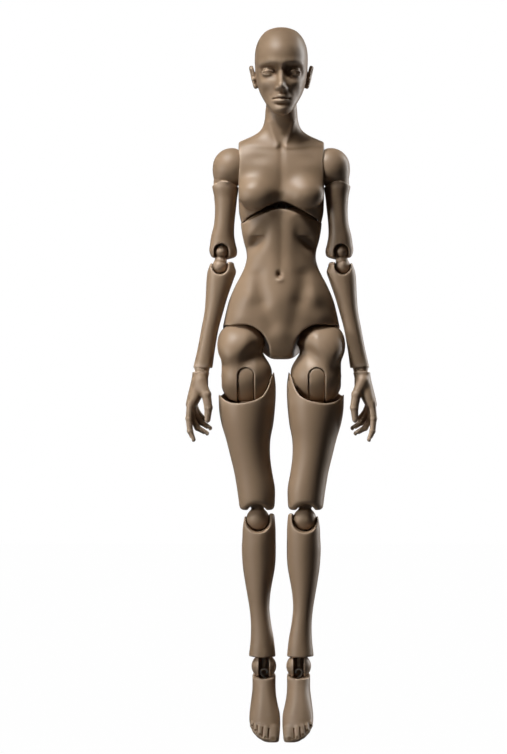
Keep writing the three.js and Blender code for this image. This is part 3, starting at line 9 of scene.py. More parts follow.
# %% Loading the frame
import copy
import math
import bpy
import numpy as np
import openvdb
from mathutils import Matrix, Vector


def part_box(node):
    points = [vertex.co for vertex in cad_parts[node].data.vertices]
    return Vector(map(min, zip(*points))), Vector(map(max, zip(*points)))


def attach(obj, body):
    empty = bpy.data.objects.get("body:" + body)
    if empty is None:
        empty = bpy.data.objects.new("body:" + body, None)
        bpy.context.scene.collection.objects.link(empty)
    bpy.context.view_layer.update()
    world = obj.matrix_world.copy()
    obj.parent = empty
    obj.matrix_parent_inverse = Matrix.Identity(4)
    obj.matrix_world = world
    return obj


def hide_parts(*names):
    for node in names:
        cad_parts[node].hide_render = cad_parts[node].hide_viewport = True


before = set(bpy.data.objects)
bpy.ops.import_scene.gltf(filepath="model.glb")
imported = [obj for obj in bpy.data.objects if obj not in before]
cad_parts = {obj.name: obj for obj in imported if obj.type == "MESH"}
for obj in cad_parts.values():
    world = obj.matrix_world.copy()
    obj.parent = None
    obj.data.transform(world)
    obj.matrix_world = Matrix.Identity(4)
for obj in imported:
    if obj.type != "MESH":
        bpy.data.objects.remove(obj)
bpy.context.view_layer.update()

# %% [markdown]
# The camera comes first. It stands level with the middle of the figure, far enough away that the
# head and the feet show no perspective of their own. One pixel of the picture covers 0.84 mm of the
# figure.

# %% Camera
SADDLE_HEIGHT = 321.0
IMAGE_SIZE = (507, 754)
AXIS_COLUMN, TOE_ROW = 281.3, 741.5
MM_PER_PIXEL = 0.84
CAMERA_DISTANCE = 12.0
CENTRE_X = (IMAGE_SIZE[0] / 2 - AXIS_COLUMN) * MM_PER_PIXEL / 1000
CENTRE_Z = ((TOE_ROW - IMAGE_SIZE[1] / 2) * MM_PER_PIXEL - SADDLE_HEIGHT) / 1000


def stand(name, data):
    """A new object in the scene from its data"""
    thing = bpy.data.objects.new(name, data)
    bpy.context.scene.collection.objects.link(thing)
    return thing


camera_data = bpy.data.cameras.new("camera")
camera = stand("camera", camera_data)
camera.location = (CENTRE_X, -CAMERA_DISTANCE, CENTRE_Z)
camera.rotation_euler = (math.pi / 2, 0, 0)
camera_data.sensor_fit = "VERTICAL"
camera_data.angle_y = 2 * math.atan(IMAGE_SIZE[1] * MM_PER_PIXEL / 2000 / CAMERA_DISTANCE)
camera_data.clip_start = 0.05
bpy.context.scene.camera = camera
print("camera angle", round(math.degrees(camera_data.angle_y), 2))

# %% [markdown]
# The light is that of a small studio, with left and right as in the picture. The key lamp hangs
# high at the left in front, and its beam is narrowed, so that the legs stay darker than the
# chest. A lower lamp lights the left side, a narrow strip behind the figure draws the bright edge
# down the right, and the fill is weak. The surround is white to the camera and gives hardly any
# light.

# %% Light and surround
# Place, aim, size, watts, colour and width of the beam
LAMPS = {
    "key": ((-0.62, -0.52, 1.32), (0, 0, 0.02), (0.40, 0.40), 0.72, (1.0, 0.98, 0.95), 26),
    "side": ((-1.10, -0.58, 0.10), (0, 0, -0.04), (0.25, 0.5), 0.75, (1.0, 0.97, 0.93), 60),
    "rim": ((0.85, 0.55, 0.30), (0.02, 0, 0.0), (0.14, 1.1), 9.0, (1, 1, 1), 180),
    "fill": ((-0.5, -1.6, 0.0), (0, 0, -0.1), (0.7, 1.0), 0.12, (1, 1, 1), 180),
}
for name, (place, aim, size, watts, colour, spread) in LAMPS.items():
    data = bpy.data.lights.new(name, "AREA")
    data.shape = "RECTANGLE"
    data.size, data.size_y = size
    data.energy, data.color, data.spread = watts, colour, math.radians(spread)
    lamp = stand(name, data)
    lamp.location = place
    lamp.rotation_euler = (Vector(aim) - Vector(place)).to_track_quat("-Z", "Y").to_euler()

world = bpy.data.worlds.new("surround")
bpy.context.scene.world = world
world.use_nodes = True
world.node_tree.nodes.clear()
path, lit, seen, mixed, out = [
    world.node_tree.nodes.new("ShaderNode" + kind)
    for kind in ("LightPath", "Background", "Background", "MixShader", "OutputWorld")]
for node, colour, strength in ((lit, (1, 0.74, 0.52, 1), 0.03), (seen, (1, 1, 1, 1), 1.0)):
    node.inputs["Color"].default_value = colour
    node.inputs["Strength"].default_value = strength
for source, socket in ((path.outputs["Is Camera Ray"], mixed.inputs[0]),
                       (lit.outputs[0], mixed.inputs[1]), (seen.outputs[0], mixed.inputs[2]),
                       (mixed.outputs[0], out.inputs[0])):
    world.node_tree.links.new(source, socket)
bpy.context.scene.view_settings.view_transform = "Standard"
print("lamps", list(LAMPS))

# %% [markdown]
# Shader maths reads best as plain expressions. This small class wraps a socket of one material
# and turns + - and * into Math nodes, and one method adds any other node.

# %% Shader maths
def plug(tree, socket, value):
    """A link, a colour or a plain value into a socket"""
    if isinstance(value, Wire):
        tree.links.new(value.socket, socket)
    elif socket.type == "RGBA":
        socket.default_value = (*value, 1)
    else:
        socket.default_value = value


class Wire:
    def __init__(self, tree, socket):
        self.tree = tree
        self.socket = socket

    def math(self, operation, first, second):
        node = self.tree.nodes.new("ShaderNodeMath")
        node.operation = operation
        plug(self.tree, node.inputs[0], first)
        plug(self.tree, node.inputs[1], second)
        return Wire(self.tree, node.outputs[0])

    def __add__(self, other): return self.math("ADD", self, other)
    def __radd__(self, other): return self.math("ADD", other, self)
    def __sub__(self, other): return self.math("SUBTRACT", self, other)
    def __rsub__(self, other): return self.math("SUBTRACT", other, self)
    def __mul__(self, other): return self.math("MULTIPLY", self, other)
    def __rmul__(self, other): return self.math("MULTIPLY", other, self)
    def clamped(self): return self.math("MAXIMUM", self.math("MINIMUM", self, 1.0), 0.0)


class Finish:
    """A material with its Principled shader and a way to add nodes"""

    def __init__(self, name, **settings):
        self.material = bpy.data.materials.new(name)
        self.material.use_nodes = True
        self.tree = self.material.node_tree
        self.shader = self.tree.nodes["Principled BSDF"]
        self.put(**settings)

    def put(self, **settings):
        for name, value in settings.items():
            plug(self.tree, self.shader.inputs[name.replace("_", " ")], value)

    def node(self, kind, output, settings=None, **inputs):
        node = self.tree.nodes.new("ShaderNode" + kind)
        for name, value in (settings or {}).items():
            setattr(node, name, value)
        for name, value in inputs.items():
            plug(self.tree, node.inputs[name.replace("_", " ")], value)
        return Wire(self.tree, node.outputs[output])

    def place(self):
        return self.node("TexCoord", "Object")

    def noise(self, scale, detail=3.0):
        return self.node("TexNoise", "Fac", Vector=self.place(), Scale=scale, Detail=detail)

    def mix(self, factor, first, second):
        node = self.tree.nodes.new("ShaderNodeMix")
        node.data_type = "RGBA"
        for slot, value in ((0, factor), (6, first), (7, second)):
            plug(self.tree, node.inputs[slot], value)
        return Wire(self.tree, node.outputs[2])

    def bump(self, height, distance, strength):
        return self.node("Bump", "Normal", Height=height, Distance=distance, Strength=strength)


# %% [markdown]
# The resin is one casting colour, a greige tan, with a satin surface that was sanded by hand.
# Its colour drifts a little over a few centimetres. Shade is painted into it: it is a shade warmer
# and darker down in the sockets and creases, where shade falls, and it is also left a little rougher
# there. A highlight is painted on the thin rims, which are paler. The painted shade and highlight of
# each place are written on the mesh when it is made, as an attribute of the mesh that the resin's
# colour reads.

# %% Resin
RESIN = (0.345, 0.240, 0.155)
# Painted shade: a darker, warmer colour for the sockets and creases, where shade falls
RESIN_PAINTED_SHADE = (0.150, 0.072, 0.030)
# Painted highlight: a paler colour for the sharp rims, where light catches them
RESIN_PAINTED_HIGHLIGHT = (0.560, 0.430, 0.320)
DRIFT_SCALE, SANDING_SCALE, GRAIN_SCALE = 34.0, 150.0, 900.0


def make_resin():
    finish = Finish("cast_resin")
    # The attribute carries painted shade where it is below zero and a painted highlight where it is
    # above zero
    painted_shading = finish.node("Attribute", "Fac", {"attribute_name": "painted_shading"})
    # Painted shade: where the mesh is hollow, in sockets and creases where shade falls, the colour
    # is mixed towards a darker warm brown
    hollow = (painted_shading * -1.0).clamped()
    drift = (finish.noise(DRIFT_SCALE, 2.0) - 0.35) * 1.2
    colour = finish.mix(drift, RESIN, tuple(c * 0.92 for c in RESIN))
    colour = finish.mix(hollow * 0.85, colour, RESIN_PAINTED_SHADE)
    # Painted highlight: the sharp rims are mixed towards a paler colour, as if lit
    colour = finish.mix((painted_shading * 1.3).clamped() * 0.8, colour, RESIN_PAINTED_HIGHLIGHT)
    sanding = finish.noise(SANDING_SCALE, 2.0)
    finish.put(Base_Color=colour, Roughness=0.38 + sanding * 0.14 + hollow * 0.15, IOR=1.5)
    finish.put(Normal=finish.bump(finish.noise(GRAIN_SCALE), 0.00004, 0.35))
    return finish.material


resin = make_resin()
print("resin ready")

# %% [markdown]
# The floor lies well below the feet and keeps the shadow of the figure. It is dark for the light
# that bounces off it, which would grey the shadows of the resin, and it glows white only for the
# camera and a little for the metal.

# %% Floor
FLOOR_SIZE, FLOOR_DROP = 80, 0.30
FLOOR_GLOW, FLOOR_COVER, FLOOR_IN_METAL = 1.045, 0.95, 0.2
bpy.ops.mesh.primitive_plane_add(size=FLOOR_SIZE,
                                 location=(0, 0, -SADDLE_HEIGHT / 1000 - FLOOR_DROP))
floor = bpy.context.object
floor.name = "floor"


def make_floor():
    finish = Finish("white_floor", Base_Color=(0.10, 0.10, 0.10), Roughness=0.9)
    seen_straight = finish.node("LightPath", "Is Camera Ray")
    seen_in_metal = finish.node("LightPath", "Is Glossy Ray")
    amount = (seen_straight + seen_in_metal * FLOOR_IN_METAL).clamped() * FLOOR_COVER
    glow = finish.node("Emission", 0, Strength=FLOOR_GLOW)
    blend = finish.tree.nodes.new("ShaderNodeMixShader")
    end = finish.tree.nodes["Material Output"]
    for source, socket in ((amount.socket, blend.inputs[0]), (glow.socket, blend.inputs[2]),
                           (finish.shader.outputs[0], blend.inputs[1]),
                           (blend.outputs[0], end.inputs[0])):
        finish.tree.links.new(source, socket)
    return finish.material


floor.data.materials.append(make_floor())
print("floor laid")

# %% [markdown]
# A casting of this kind is sculpted, not built from edges: the forms run into each other and
# every rim is rounded by sanding. So the castings are made as fields, blocks of numbers that are
# negative inside the resin. Forms are joined and cut with a soft maximum, which leaves the
# sanded radius by itself, and the zero surface is then meshed with OpenVDB.

# %% Clay
DRAFT = 1.12
BOTH = ((1, "_left"), (-1, "_right"))
MIDDLE = ((1, ""),)


def soft_max(a, b, radius):
    meet = np.maximum(radius - np.abs(a - b), 0) / radius
    return np.maximum(a, b) + meet * meet * radius * 0.25


def soft_min(a, b, radius):
    return -soft_max(-a, -b, radius)


def smooth_step(low, high, value):
    t = np.clip((value - low) / (high - low), 0, 1)
    return t * t * (3 - 2 * t)


def stations(table, place):
    """Each column of a table of stations at a place, along smooth curves"""
    table = np.asarray(table, float)
    at = table[:, 0]
    place = np.clip(place, at[0], at[-1])
    i = np.clip(np.searchsorted(at, place, side="right") - 1, 0, len(at) - 2)
    low = np.maximum(np.arange(len(at)) - 1, 0)
    high = np.minimum(np.arange(len(at)) + 1, len(at) - 1)
    gap = at[i + 1] - at[i]
    t = (place - at[i]) / gap
    h = t * t * (3 - 2 * t)
    columns = []
    for value in table.T[1:]:
        slope = (value[high] - value[low]) / (at[high] - at[low])
        bend = slope[i] * t * (1 - t) ** 2 + slope[i + 1] * t * t * (t - 1)
        columns.append(value[i] * (1 - h) + value[i + 1] * h + bend * gap)
    return columns


class Clay:
    """A block of numbers round one casting, negative inside, in millimetres"""

    def __init__(self, low, high, step):
        self.step = step = step * DRAFT
        self.low = np.array(low, float) - 3 * step
        count = np.ceil((np.array(high, float) - self.low) / step).astype(int) + 4
        self.x, self.y, self.z = [
            (self.low[k] + step * np.arange(count[k])).astype(np.float32).reshape(
                [-1 if axis == k else 1 for axis in range(3)]) for k in range(3)]

    def sides(self):
        """The block as it is and with left and right exchanged, for what both sides have"""
        twin = copy.copy(self)
        twin.x = -self.x
        return self, twin

    def join(self, form, radius):
        self.body = soft_min(self.body, form, radius)

    def cut(self, tool, radius=0):
        """Takes a form away, with a rounded edge or with a sharp one"""
        self.body = soft_max(self.body, -tool, radius) if radius else np.maximum(self.body, -tool)

    def tube(self, middle, half, front, back, power):
        half, front, back, power = [np.asarray(v, np.float32) for v in (half, front, back, power)]
        dx = self.x - np.asarray(middle, np.float32)
        dy = self.y - (front + back) / 2
        share = np.abs(dx / half) ** power + np.abs(dy * 2 / (back - front)) ** power
        share = np.maximum(share ** (1 / power), 0.02)
        reach = np.sqrt(dx * dx + dy * dy)
        return reach - reach / share

    def column(self, table, inset=0.0):
        """A tube about the middle plane, from a table of half widths, fronts, backs and powers"""
        half, front, back, power = stations(table, self.z)
        return self.tube(0, half - inset, front + inset, back - inset, power)

    def limb(self, upper, lower, table):
        """A tube between two joints, from a table whose stations are shares of the way down"""
        share = (upper[2] - self.z) / (upper[2] - lower[2])
        shift, half, front, back = stations(table, share)
        middle, depth = [upper[k] + (lower[k] - upper[k]) * share for k in (0, 1)]
        return self.tube(middle + shift, half, depth + front, depth + back, 2.0)

    def far(self, place):
        return self.x - place[0], self.y - place[1], self.z - place[2]

    def ball(self, centre, radius):
        return np.sqrt(sum(d ** 2 for d in self.far(centre))) - radius

    def egg(self, centre, radii):
        far = self.far(centre)
        share = np.sqrt(sum((d / r) ** 2 for d, r in zip(far, radii)))
        slope = np.sqrt(sum((d / r ** 2) ** 2 for d, r in zip(far, radii)))
        share = np.maximum(share, 0.02)
        return share * (share - 1) / np.maximum(slope, 1e-4)

    def rod(self, start, end, radius, end_radius=None, endless=False):
        """A capsule between two points, which may taper, or a line that has no ends"""
        along = [b - a for a, b in zip(start, end)]
        far = self.far(start)
        t = sum(d * a for d, a in zip(far, along)) / sum(a * a for a in along)
        if not endless:
            t = np.clip(t, 0, 1)
        away = np.sqrt(sum((d - a * t) ** 2 for d, a in zip(far, along)))
        return away - radius - ((end_radius or radius) - radius) * t

    def bore(self, start, end, radius):
        return self.rod(start, end, radius, endless=True)

    def block(self, low, high):
        axes = (self.x, self.y, self.z)
        far = [np.maximum(low[k] - axis, axis - high[k]) for k, axis in enumerate(axes)]
        return np.maximum(np.maximum(far[0], far[1]), far[2])

    def arch(self, centre, half, up=True):
        """Endless along Y: an arch that is open below, or a U that is open above"""
        dx, dz = self.x - centre[0], (self.z - centre[2]) * (1 if up else -1)
        return np.where(dz > 0, np.sqrt(dx * dx + dz * dz), np.abs(dx)) - half

    def stroke(self, path, width, height):
        """A ridge or groove that follows a path in the front view, as a map over x and z"""
        best = None
        for (ax, az), (bx, bz) in zip(path[:-1], path[1:]):
            dx, dz = bx - ax, bz - az
            t = ((self.x - ax) * dx + (self.z - az) * dz) / (dx * dx + dz * dz)
            t = np.clip(t, 0, 1)
            far = (self.x - ax - dx * t) ** 2 + (self.z - az - dz * t) ** 2
            best = far if best is None else np.minimum(best, far)
        return height * np.exp(-best / width ** 2)

    def dab(self, x, z, wide, tall, height, turn=0.0):
        """A soft bump in the front view, as a map over x and z"""
        c, s = math.cos(math.radians(turn)), math.sin(math.radians(turn))
        across = (self.x - x) * c + (self.z - z) * s
        along = (self.z - z) * c - (self.x - x) * s
        return height * np.exp(-(across / wide) ** 2 - (along / tall) ** 2)

    def relief(self, *marks):
        """The sum of strokes, which start with a path, and of dabs, which start with a place"""
        return sum(self.stroke(*mark) if isinstance(mark[0], list) else self.dab(*mark)
                   for mark in marks)

    def paired(self, *marks):
        """The same, on both sides"""
        return sum(side.relief(*marks) for side in self.sides())

    def ahead(self, middle=0.0, width=6.0):
        """One in front of a plane and nothing behind it, with a soft change"""
        return smooth_step(middle + width, middle - width, self.y)

    def even(self, field):
        """The same surface with the field's slope brought back to one, for true radii"""
        slopes = np.gradient(field, self.step)
        steep = np.sqrt(slopes[0] ** 2 + slopes[1] ** 2 + slopes[2] ** 2)
        return field / np.clip(steep, 0.6, 6.0)


print("clay tools ready, draft factor", DRAFT)

# %% [markdown]
# Meshing: OpenVDB gives even quads, and each corner is then slid onto the true surface along the
# field's slope, so that the skin shades as smoothly as the sculpture. The painted shading of each
# corner comes from how the field bends there: hollow places go negative, for painted shade, and
# sharp rims positive, for a painted highlight.

# %% From clay to mesh
SLIDES, LONGEST_SLIDE = 2, 0.6
TONE_REACH, TONE_STRENGTH = 0.6, 1.6


def sample(field, places):
    cell = np.clip(np.floor(places).astype(int), 0, np.array(field.shape) - 2)
    t = np.clip(places - cell, 0, 1)
    value = np.zeros(len(places))
    for corner in range(8):
        step = np.array([(corner >> k) & 1 for k in range(3)])
        weight = np.prod(np.where(step, t, 1 - t), axis=1)
        value += weight * field[tuple((cell + step).T)]
    return value


def slope_at(field, places):
    steps = np.eye(3) / 2
    return np.stack([sample(field, places + s) - sample(field, places - s) for s in steps], axis=1)


def blur(field, times):
    for _ in range(times):
        for axis in range(3):
            near = np.concatenate([np.take(field, [0], axis), np.delete(field, -1, axis)], axis)
            far = np.concatenate([np.delete(field, 0, axis), np.take(field, [-1], axis)], axis)
            field = (near + 2 * field + far) / 4
    return field


def skin_of(clay, field):
    """Corners in millimetres, quads and the painted shading of the zero surface"""
    field = np.clip(field, -5 * clay.step, 5 * clay.step).astype(np.float32)
    grid = openvdb.FloatGrid(5 * clay.step)
    grid.copyFromArray(field)
    places, quads = grid.convertToQuads(isovalue=0.0)
    places = places.astype(float)
    for _ in range(SLIDES):
        slopes = slope_at(field, places)
        steep = np.maximum((slopes ** 2).sum(axis=1), 0.05 * clay.step ** 2)
        move = -(sample(field, places) / steep)[:, None] * slopes
        length = np.linalg.norm(move, axis=1, keepdims=True)
        places += move * np.minimum(1, LONGEST_SLIDE / np.maximum(length, 1e-6))
    # Painted shading: the blurred field is negative in hollows, for painted shade, and positive on
    # sharp rims, for a painted highlight
    soft = blur(field, max(2, int(round(3 * (TONE_REACH / clay.step) ** 2))))
    painted_shading = np.clip(sample(soft, places) / clay.step * TONE_STRENGTH, -1, 1)
    return clay.low + places * clay.step, quads, painted_shading


def cast(name, clay, field=None, sides=BOTH):
    """A casting from its field, and its mirror image where both sides have one"""
    corners, quads, painted_shading = skin_of(clay, clay.body if field is None else field)
    for side, suffix in sides:
        place = corners * (side, 1, 1) - (0, 0, SADDLE_HEIGHT)
        a, b, c, d = [place[quads[:, k]] for k in range(4)]
        inside_out = (a * np.cross(b, c)).sum() + (a * np.cross(c, d)).sum() < 0
        faces = quads[:, ::-1] if inside_out else quads
        mesh = bpy.data.meshes.new(name + suffix + "_skin")
        mesh.vertices.add(len(place))
        mesh.vertices.foreach_set("co", (place / 1000).astype(np.float32).ravel())
        mesh.loops.add(faces.size)
        mesh.loops.foreach_set("vertex_index", faces.astype(np.int32).ravel())
        mesh.polygons.add(len(faces))
        mesh.polygons.foreach_set("loop_start", np.arange(0, faces.size, 4, dtype=np.int32))
        mesh.polygons.foreach_set("use_smooth", np.ones(len(faces), bool))
        mesh.update(calc_edges=True)
        mesh.validate()
        # The painted shade and painted highlight of each corner are stored for the resin's colour
        attribute = mesh.attributes.new("painted_shading", "FLOAT", "POINT")
        attribute.data.foreach_set("value", painted_shading.astype(np.float32))
        mesh.materials.append(resin)
        dress(stand(name + suffix + "_skin", mesh), name + suffix, name + suffix)
    print(name, "quads", len(quads))


def dress(piece, body, node):
    """Sets what a piece rides on, and hides the solid of the node that it stands for"""
    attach(piece, body)
    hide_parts(node)


# %% [markdown]
# The joint centres and radii repeat the drawing's, so that every skin sits where its solid is.

# %% Places and sizes
BALL_GAP = 0.25
NECK = (0, 2.5, 537)
WAIST = (0, 0.5, 431)
SHOULDER = (41.5, 0, 482.5)
ELBOW_UPPER = (50.4, 0, 412)
ELBOW_LOWER = (51.8, 0, 399.2)
WRIST = (66.6, 0, 312.5)
HIP = (31.5, 1, 325.5)
THIGH = (29.8, 0, 307)
KNEE_UPPER = (20.2, 0, 204)
KNEE_LOWER = (19.7, 0, 186.9)
ANKLE = (14.6, 1, 63.4)
NECK_BALL, WAIST_DOME, WAIST_HALF_LENGTH = 12.6, 18.2, 31
SHOULDER_BALL, SHOULDER_CORE_BALL = 16, 7.5
ELBOW_UPPER_BALL, ELBOW_LOWER_BALL, WRIST_BALL = 5.2, 6.1, 6.6
HIP_BALL, HIP_INNER, HIP_OUTER, THIGH_BALL = 26, 21.6, 22.6, 22.3
KNEE_UPPER_BALL, KNEE_LOWER_BALL, ANKLE_BALL = 9, 9.7, 10.4
ARM_CORD, LEG_CORD = 1.25, 1.5
HIP_POWERS = (1.9, 3.0)


def above(place, height):
    """The point straight over or under a place, at a height over the toe tips"""
    return (place[0], place[1], height)


def direction(start, end):
    """The unit vector from one place to another"""
    way = np.array(end, float) - np.array(start, float)
    return way / np.linalg.norm(way)


def outline(u, inner, outer, inner_power, outer_power):
    """Height of a lopsided dome over a distance from its middle: one there, nothing at its ends"""
    share = np.clip(np.where(u < 0, -u / inner, u / outer), 0, 1)
    power = np.where(u < 0, inner_power, outer_power)
    return (1 - share ** power) ** (1 / power)


def turned(clay, centre, profile):
    """A form turned about the line that runs across the body through its centre"""
    return np.sqrt((clay.y - centre[1]) ** 2 + (clay.z - centre[2]) ** 2) - profile


def barrel(clay, centre, radius, inner, outer, *powers):
    """A lopsided dome turned about the line across the body, between its own two ends"""
    u = clay.x - centre[0]
    field = turned(clay, centre, radius * outline(u, inner, outer, *powers))
    return clay.even(np.maximum(field, np.where(u < 0, -u - inner, u - outer)))


# %% [markdown]
# The chest is one casting with the shoulders and the neck. Its lower rim rises to a peak between
# the breasts, and the collar bones and the two cords of the neck are the only sharp forms on it.

# %% Chest
CHEST = [
    (430, 33, -19, 19.5, 2.2), (437, 34, -19.5, 20, 2.2), (445, 35.8, -20.5, 21, 2.3),
    (456, 37.5, -21, 22, 2.4), (466, 44, -20.8, 22.5, 2.4), (476, 51, -20.3, 22.5, 2.4),
    (485, 54, -19, 22, 2.4), (493, 52, -16.2, 20.5, 2.4), (498.5, 46, -13, 18.5, 2.3),
    (502.5, 38, -11.2, 17.2, 2.1), (506, 30, -9.8, 17, 2), (509, 23.5, -9, 16.8, 2),
    (512.5, 18.4, -8.6, 16.6, 2), (516.5, 15.6, -8.6, 16.2, 2), (522, 14, -9, 15.8, 2),
    (530, 13.3, -9.6, 15.2, 2), (540, 12.0, -9.4, 14.4, 2),
]
ARMHOLE = 35.9


def waist_rim(clay, peak, fall, bend, side, back):
    """Height of a rim at the waist: a rounded peak in front, and a flatter back"""
    front = peak - fall * (np.sqrt(clay.x ** 2 + bend ** 2) - bend)
    rear = side + (back - side) * np.clip(1 - (clay.x / 33) ** 2, 0, 1)
    turn = smooth_step(-5, 7, clay.y)
    return front * (1 - turn) + rear * turn


def waist_flank(clay):
    """One at the two flanks, where the rims of chest and abdomen nearly touch"""
    return smooth_step(26, 33, np.abs(clay.x)) * smooth_step(13, 5, np.abs(clay.y))


def waist_dome(clay, extra):
    reach = WAIST_HALF_LENGTH + extra
    profile = (WAIST_DOME + extra) * outline(clay.x, reach, reach, 3, 3)
    return clay.even(turned(clay, WAIST, profile))


def model_chest():
    clay = Clay((-37, -33, 430), (37, 25, 552), 0.62)
    front = clay.relief(
        ([(4.5, 499.3), (14, 500.0), (25, 501.4), (36, 501.2)], 2.2, 1.6),
        ([(-4.5, 499.3), (-14, 500.0), (-25, 501.4), (-36, 501.2)], 2.6, 0.9),
        (0, 499.0, 2.8, 3.6, -1.6), ([(0, 492), (0, 466)], 3.2, -0.8),
    ) + clay.paired(([(10.5, 520), (8, 512), (3.2, 501)], 2.1, 1.0),
                    (20, 490, 9, 5, -1.2), (17, 478, 12, 9, 1.3))
    back = clay.stroke([(0, 515), (0, 440)], 3.4, -1.7)
    back = back + clay.paired(([(9, 478), (15, 464), (26, 470)], 6.0, 1.5))
    body = clay.column(CHEST) - front * clay.ahead() - back * (1 - clay.ahead())
    clay.body = clay.even(body)
    for side in clay.sides():
        breast = side.egg((20.6, -17.8, 459.6), (15.6, 13.2, 13.4))
        clay.join(breast, 3.6 + 6.4 * smooth_step(449, 465, clay.z))
    clay.cut(clay.z - waist_rim(clay, 453.4, 0.615, 7.5, 440.0, 443) + 2.1 * waist_flank(clay), 1.2)
    clay.cut(ARMHOLE - np.abs(clay.x), 1.4)
    clay.join(clay.ball(NECK, NECK_BALL), 1.2)
    clay.cut(NECK[2] + NECK_BALL - 0.2 - clay.z, 1.0)
    for side in clay.sides():
        clay.cut(side.ball(SHOULDER, SHOULDER_BALL + BALL_GAP), 1.0)
        clay.cut(side.rod((19.5, 0, SHOULDER[2]), (16.4, 0, SHOULDER[2]), 7.0))
    clay.cut(waist_dome(clay, 0.7), 1.0)
    clay.cut(clay.bore((-1, 0, SHOULDER[2]), (1, 0, SHOULDER[2]), 4.0))
    clay.cut(clay.bore((0, 3, 440), (0, 2.5, 540), 4.8))
    return clay


cast("chest", model_chest(), sides=MIDDLE)

# %% [markdown]
# Abdomen and pelvis are one casting too. The dome at its top carries the chest, the rib edges,
# the navel, the belly and the hip bones are soft relief, and the leg openings cut its lower part
# to a narrow bridge.

# %% Lower torso
LOWER_TORSO = [
    (321, 7, -9, 16, 2.2), (323.5, 15, -13, 21, 2.2), (328, 28, -16.5, 25.5, 2.2),
    (335, 46, -18.5, 29, 2.3), (344, 50, -20, 30, 2.3), (351, 48.5, -21, 29, 2.3),
    (358, 47.0, -21.8, 27.3, 2.25), (371, 43.6, -22, 22.8, 2.2), (384, 38, -20.8, 18.8, 2.2),
    (391, 34.2, -20, 17.3, 2.2), (398, 31, -19, 16.5, 2.2), (405, 29.2, -18.4, 16.4, 2.2),
    (411, 29.6, -18.2, 17, 2.2), (421, 31.8, -18.6, 18.4, 2.2), (435, 34, -19.2, 19.6, 2.2),
    (448, 34.6, -19.2, 20, 2.2),
]
BRIDGE_FOOT = 321.0
RIM_WALL = 2.6


def hip_form(clay, extra):
    return barrel(clay, HIP, HIP_BALL + extra, HIP_INNER + extra, HIP_OUTER + extra, *HIP_POWERS)


def leg_opening(clay, height, inner=HIP_INNER, extra=0.5):
    """The front outline of the hip form carried down, as a field that is endless along Y"""
    u = clay.x - HIP[0]
    inner, outer = inner + extra, HIP_OUTER + extra
    top = HIP[2] + height * outline(u, inner, outer, *HIP_POWERS)
    top = np.maximum(top, HIP[2] + np.where(u > 0, height * 0.55, 0))
    field = np.maximum(clay.z - top, np.where(u < 0, -u - inner, u - outer - 6))
    slopes = np.gradient(field[:, 0, :], clay.step)
    steep = np.sqrt(slopes[0] ** 2 + slopes[1] ** 2)[:, None, :]
    return field / np.clip(steep, 1, 8)


def model_lower_torso():
    clay = Clay((-51, -26, 319), (51, 32, 451), 0.72)
    front = clay.relief(
        ([(0, 446), (0, 400)], 2.8, -0.3), (0, 374, 13, 16, 2.3), (0, 343, 8.5, 9, 1.9),
        (-2.0, 392.0, 2.0, 2.8, -3.2), (-1.4, 387.6, 2.8, 1.9, 1.2),
    ) + clay.paired(
        ([(7.0, 438), (7.5, 420), (7.0, 398)], 5.4, 0.8), (20.4, 419.4, 5.2, 8.6, -6.2, 34),
        ([(12, 442), (20, 435), (27, 427)], 4.8, 1.1),
        ([(19, 391), (18.4, 382), (15.6, 371)], 6.4, -2.5), ([(15, 364), (9.5, 349)], 6.0, -1.0),
        (28, 374, 6.4, 9.0, 2.1, 18), (34, 357, 8.0, 6.0, 1.0))
    back = clay.relief(([(0, 445), (0, 385)], 4.2, -2.2), ([(0, 362), (0, 318)], 2.4, -4.6))
    back = back + clay.paired((19, 350, 12, 12, 3.0), (9.5, 386, 2.4, 2.6, -1.2))
    body = clay.column(LOWER_TORSO) - front * clay.ahead() - back * (1 - clay.ahead())
    clay.body = clay.even(body)
    clay.cut(waist_rim(clay, 447.4, 0.45, 7.0, 437.2, 440) - clay.z, 1.2)
    clay.cut(np.maximum(clay.column(LOWER_TORSO, RIM_WALL), 432 - clay.z), 0.8)
    clay.join(np.maximum(waist_dome(clay, 0), 425 - clay.z), 0.8)
    clay.cut(clay.z - BRIDGE_FOOT, 1.6)
    for side in clay.sides():
        leg = np.minimum(hip_form(side, 0.8),
                         np.maximum(leg_opening(side, 24.8), clay.y - HIP[1]))
        leg = np.minimum(leg, np.maximum(leg_opening(side, 9.0, 12.0), HIP[1] - clay.y))
        clay.cut(leg, 1.5)
        clay.cut(side.rod((27, 1, 348.5), (14, 1, 367), 6.5))
    clay.cut(clay.rod((0, 1, 372), (0, 0.5, 452), 7.6))
    return clay


cast("lower_torso", model_lower_torso(), sides=MIDDLE)

# %% [markdown]
# The head is a shell with a cap at the back. The face is calm and blank: heavy lids, a straight
# nose and a closed mouth, sculpted as strokes on the front of the skull.

# %% Head
SKULL = [
    (525.6, 2.4, -20.6, -14, 2), (527.2, 5.6, -23.6, -10, 2.05), (530, 9.0, -25.2, -5, 2.1),
    (534, 12.0, -25.6, 2, 2.1), (539, 15.0, -25.4, 11, 2.1), (544, 17.6, -25.3, 18, 2.1),
    (549, 19.4, -25.4, 23.5, 2.1), (556, 21, -25.7, 28, 2.1), (564, 21.9, -26.2, 30, 2.1),
    (573, 22.3, -26.8, 30.5, 2.1), (582, 21.5, -25.0, 28, 2.05), (589, 19, -21.0, 23.5, 2),
    (594, 15.6, -16.4, 18.4, 2), (597.5, 11.2, -11.6, 13, 2), (599.6, 5, -4.6, 6, 2),
    (600.2, 1, -0.6, 1.6, 2),
]
CHIN, CROWN = 525.4, 600.0
EYE = (10.9, -18.0, 561.6)
EYE_BALL = (5.0, 4.1, 3.6)
LID = (5.6, 4.7, 4.2)
LID_REACH = 4.6
CAP_LEAN, CAP_GAP, CAP_FOOT = 0.3, 0.14, 552


